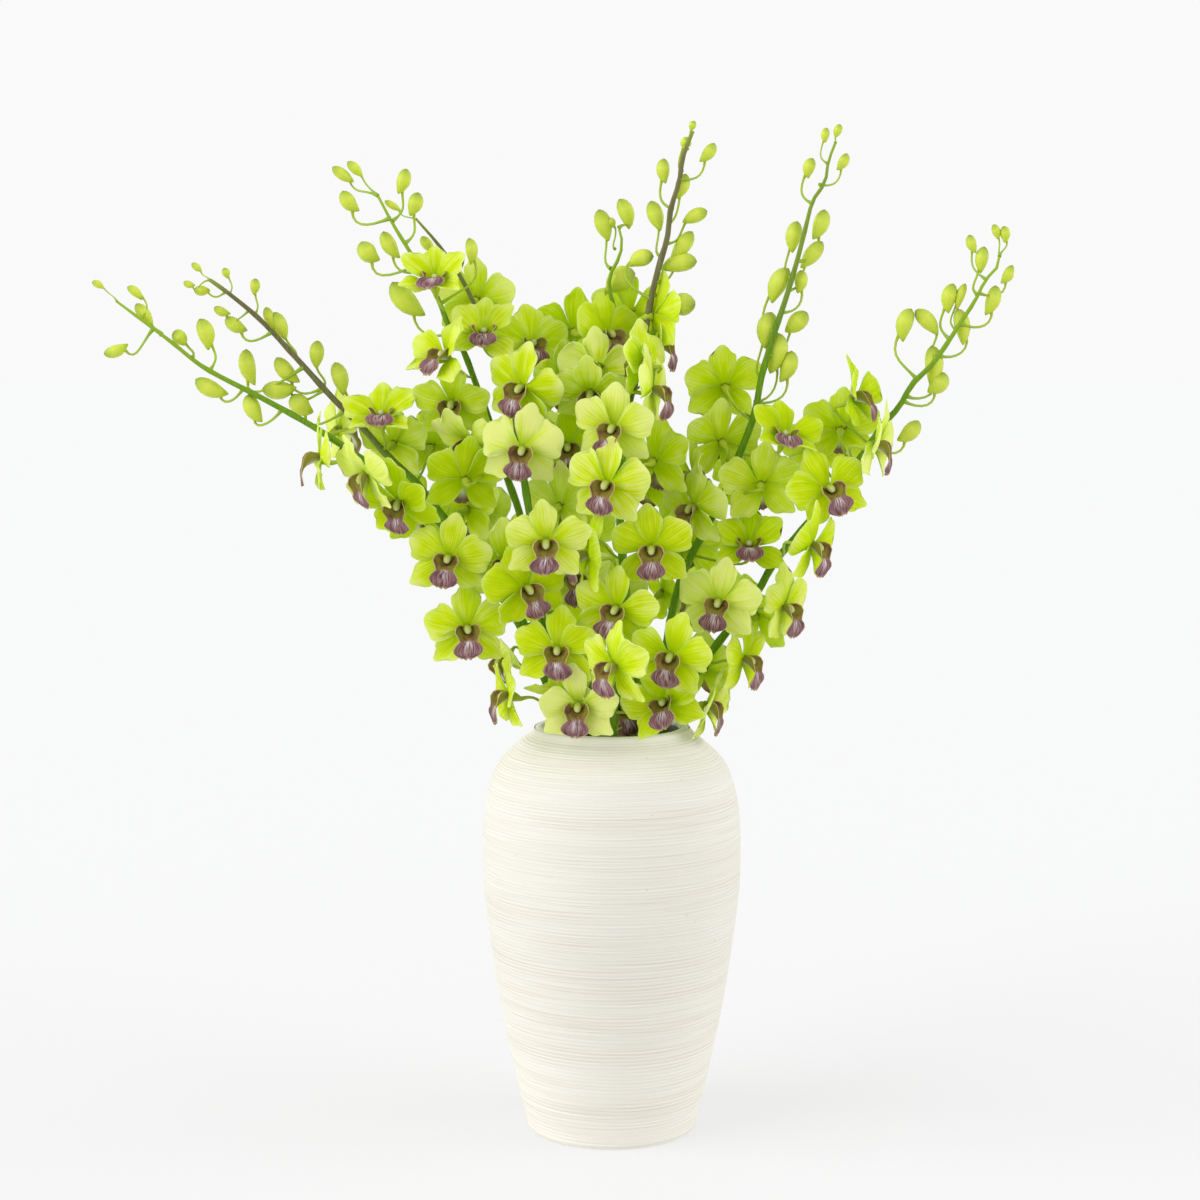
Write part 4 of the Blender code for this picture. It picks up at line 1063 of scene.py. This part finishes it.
# %% Stems
STEM_IN_WATER = 2.2 * MM
STEM_TIP_RADIUS = 0.75 * MM
STOUT_TIPS = {"spray_left": 1.15 * MM, "spray_centre": 1.2 * MM}
STEM_TAPER = 2.5
STEM_FINE_STEP = 7.0 * MM
KNEE = 1.12
KNEE_EVERY = 4
# How much of a stem's upper part has turned mauve: from which share of its height, and how strongly
MAUVE = {
    "spray_left": (0.55, 1.0), "spray_left_back": (0.5, 0.9), "spray_centre": (0.5, 1.0),
    "spray_right_centre": (0.62, 0.35),
}
MAUVE_BLEND = 0.15
# The fibres are finer than this on a real stem, and are drawn so coarse to show at all
FIBRE_SCALE = (1 / (1.11 * MM), 1 / (1.11 * MM), 1 / (16.7 * MM))

stem_skin, tree, shader, _, along = new_tissue("dendrobium stem skin", 0.5, 0.15)
fibres = drawn_out(tree, add(tree, "TexCoord", out="Object"), FIBRE_SCALE)
green = add(tree, "Mix RGBA", fibres, "#437404", "#76981C")
young = add(tree, "MapRange", along, 0.7, 1.0, 0.0, 0.85)
green = add(tree, "Mix RGBA", young, green, "#94B030")
mauve = add(tree, "Mix RGBA", fibres, "#4E4C2E", "#7C784C")
tone = add(tree, "Attribute", out="Fac", attribute_name="tone")
skin = add(tree, "Mix RGBA", tone, green, mauve)
newest = add(tree, "MapRange", along, 0.94, 1.0, 0.0, 0.8)
skin = add(tree, "Mix RGBA", newest, skin, "#94B030")
finish_look(tree, shader, skin, add(tree, "Bump", 0.3, 0.2 * MM, Height=fibres))


def add_stem(shape, name):
    low, route = stem_lines[name]
    points = [low, low.lerp(route[0], 0.5)] + evenly(route, STEM_FINE_STEP)
    span = len(points) - 3
    radii = [STEM_IN_WATER, STEM_IN_WATER]
    tip_radius = STOUT_TIPS.get(name, STEM_TIP_RADIUS)
    for k in range(span + 1):
        thickness = STEM_FOOT_RADIUS + (tip_radius - STEM_FOOT_RADIUS) * (k / span) ** STEM_TAPER
        radii.append(thickness * (KNEE if k % KNEE_EVERY == 1 else 1.0))
    add_tube(shape, points, radii, TUBE_SIDES, 0.0)
    start, strength = MAUVE.get(name, (1.0, 0.0))
    layer = shape.verts.layers.float["tone"]
    for vert in shape.verts:
        up = (vert.co.z - VASE_HEIGHT) / (route[-1].z - VASE_HEIGHT)
        vert[layer] = strength * min(max((up - start) / MAUVE_BLEND, 0.0), 1.0)


# %% [markdown]
# ## Buds
#
# A closed bud is a plump drop. The bases of its sepals are drawn out into a pointed chin at its heel, and the
# stalk bends round outside to join it above that. It is fullest in its middle and ends in an olive tip.

# %% Bud skin and shape
# How far it is round a bud and how long it is, in millimetres, and how far apart its veins are
BUD_SIZE = (24.0, 14.0)
BUD_VEIN_SPACING = 3.0

bud_skin, tree, shader, across, along = new_tissue("orchid bud skin", 0.4, 0.4)
ripe = ((0.0, "#AEC428"), (0.3, "#CEDE3C"), (0.6, "#DAE650"), (0.8, "#A6BC2C"), (0.92, "#76702C"))
ripe = add(tree, "ValToRGB", along, stops=ripe)
veined = tissue_noise(tree, across, along, BUD_SIZE, (BUD_VEIN_SPACING / 2, 20.0))
veined = add(tree, "MapRange", veined, 0.35, 0.7, 0.0, 0.2)
ripe = add(tree, "Mix RGBA", veined, ripe, "#D3E070")
finish_look(tree, shader, ripe, through=0.25)

BUD_RADII = (0.0, 0.26, 0.5, 0.78, 1.0, 1.08, 1.04, 0.84, 0.5, 0.0)
BUD_SHARES = (0.0, 0.06, 0.15, 0.27, 0.41, 0.56, 0.7, 0.84, 0.94, 1.0)
BUD_BULGE = 0.46
BUD_CORE = 0.45
STALK_DROP = 0.9
TIP_REACH = 5.0 * MM
FULL_STALK_WIDTH = 7


def bud_joint(tip, heel, foot, width):
    """Where the stalk meets a bud: above its chin, on the side away from the stem. Also which way the stem is."""
    axis = tip - heel
    to_foot = foot - heel.lerp(tip, 0.5)
    bow = (to_foot - axis * (to_foot.dot(axis) / axis.length_squared)).normalized()
    return heel.lerp(tip, BUD_JOINT[0]) - bow * width * BUD_FULLNESS * BUD_JOINT[1] * MM, bow


def bud_stalk_foot(stem, joint, foot, width):
    """Where a bud's stalk leaves the stem, which is the stem's tip for a bud that stands beyond it."""
    if (joint - stem[-1]).dot((stem[-1] - stem[-2]).normalized()) > TIP_REACH:
        return stem[-1]
    return nearest_on(stem, foot - Vector((0, 0, width * STALK_DROP * MM)))


def add_bud(buds, stalks, stem, tip, heel, foot, width, tone):
    joint, bow = bud_joint(tip, heel, foot, width)
    wide = width * BUD_FULLNESS * MM
    points = [heel.lerp(tip, share) - bow * wide * BUD_BULGE * math.sin(math.pi * share) for share in BUD_SHARES]
    add_tube(buds, points, [radius * wide for radius in BUD_RADII], TUBE_SIDES, tone)
    inward = (heel.lerp(tip, BUD_CORE) - joint).normalized()
    low = bud_stalk_foot(stem, joint, foot, width)
    points = stalk_points(stem, low, joint, (inward + Vector((0, 0, 1.2))).normalized())
    points.append(joint + inward * wide * 0.4)
    thin = min(1.0, width / FULL_STALK_WIDTH)
    add_tube(stalks, points, [radius * thin * MM for radius in BUD_STALK_RADII], STALK_SIDES, tone)


# %% [markdown]
# ## Growing the sprays
#
# Everything is ready, so this step walks along each spray and adds its stem, its buds and its flowers. Each
# spray becomes a few pieces, one for each kind of tissue, and all of them stand for the spray's CAD solid.

# %% Grow every spray
FINISHES = {
    "stem": [stem_skin], "stalks": [stalk_skin], "buds": [bud_skin], "petals": [petal_tissue],
    "lips": [lip_tissue, lip_keel], "columns": [column_tissue],
}
looks = random.Random(21)
for name, stem in stem_chords.items():
    shapes = {kind: new_shape() for kind in FINISHES}
    add_stem(shapes["stem"], name)
    for width, tip, heel, foot in bud_places[name]:
        add_bud(shapes["buds"], shapes["stalks"], stem, tip, heel, foot, width, looks.random())
    for cup, stand, foot in flower_places[name]:
        tone = looks.random()
        add_flower_stalk(shapes["stalks"], stem, stand, foot, tone)
        add_tepals(shapes["petals"], stand, cup, tone, looks)
        add_lip(shapes["lips"], stand, tone, looks)
        add_column(shapes["columns"], stand, tone)
    for kind, finishes in FINISHES.items():
        if len(shapes[kind].verts):
            finish_piece(f"{name}_{kind}", shapes[kind], finishes, name)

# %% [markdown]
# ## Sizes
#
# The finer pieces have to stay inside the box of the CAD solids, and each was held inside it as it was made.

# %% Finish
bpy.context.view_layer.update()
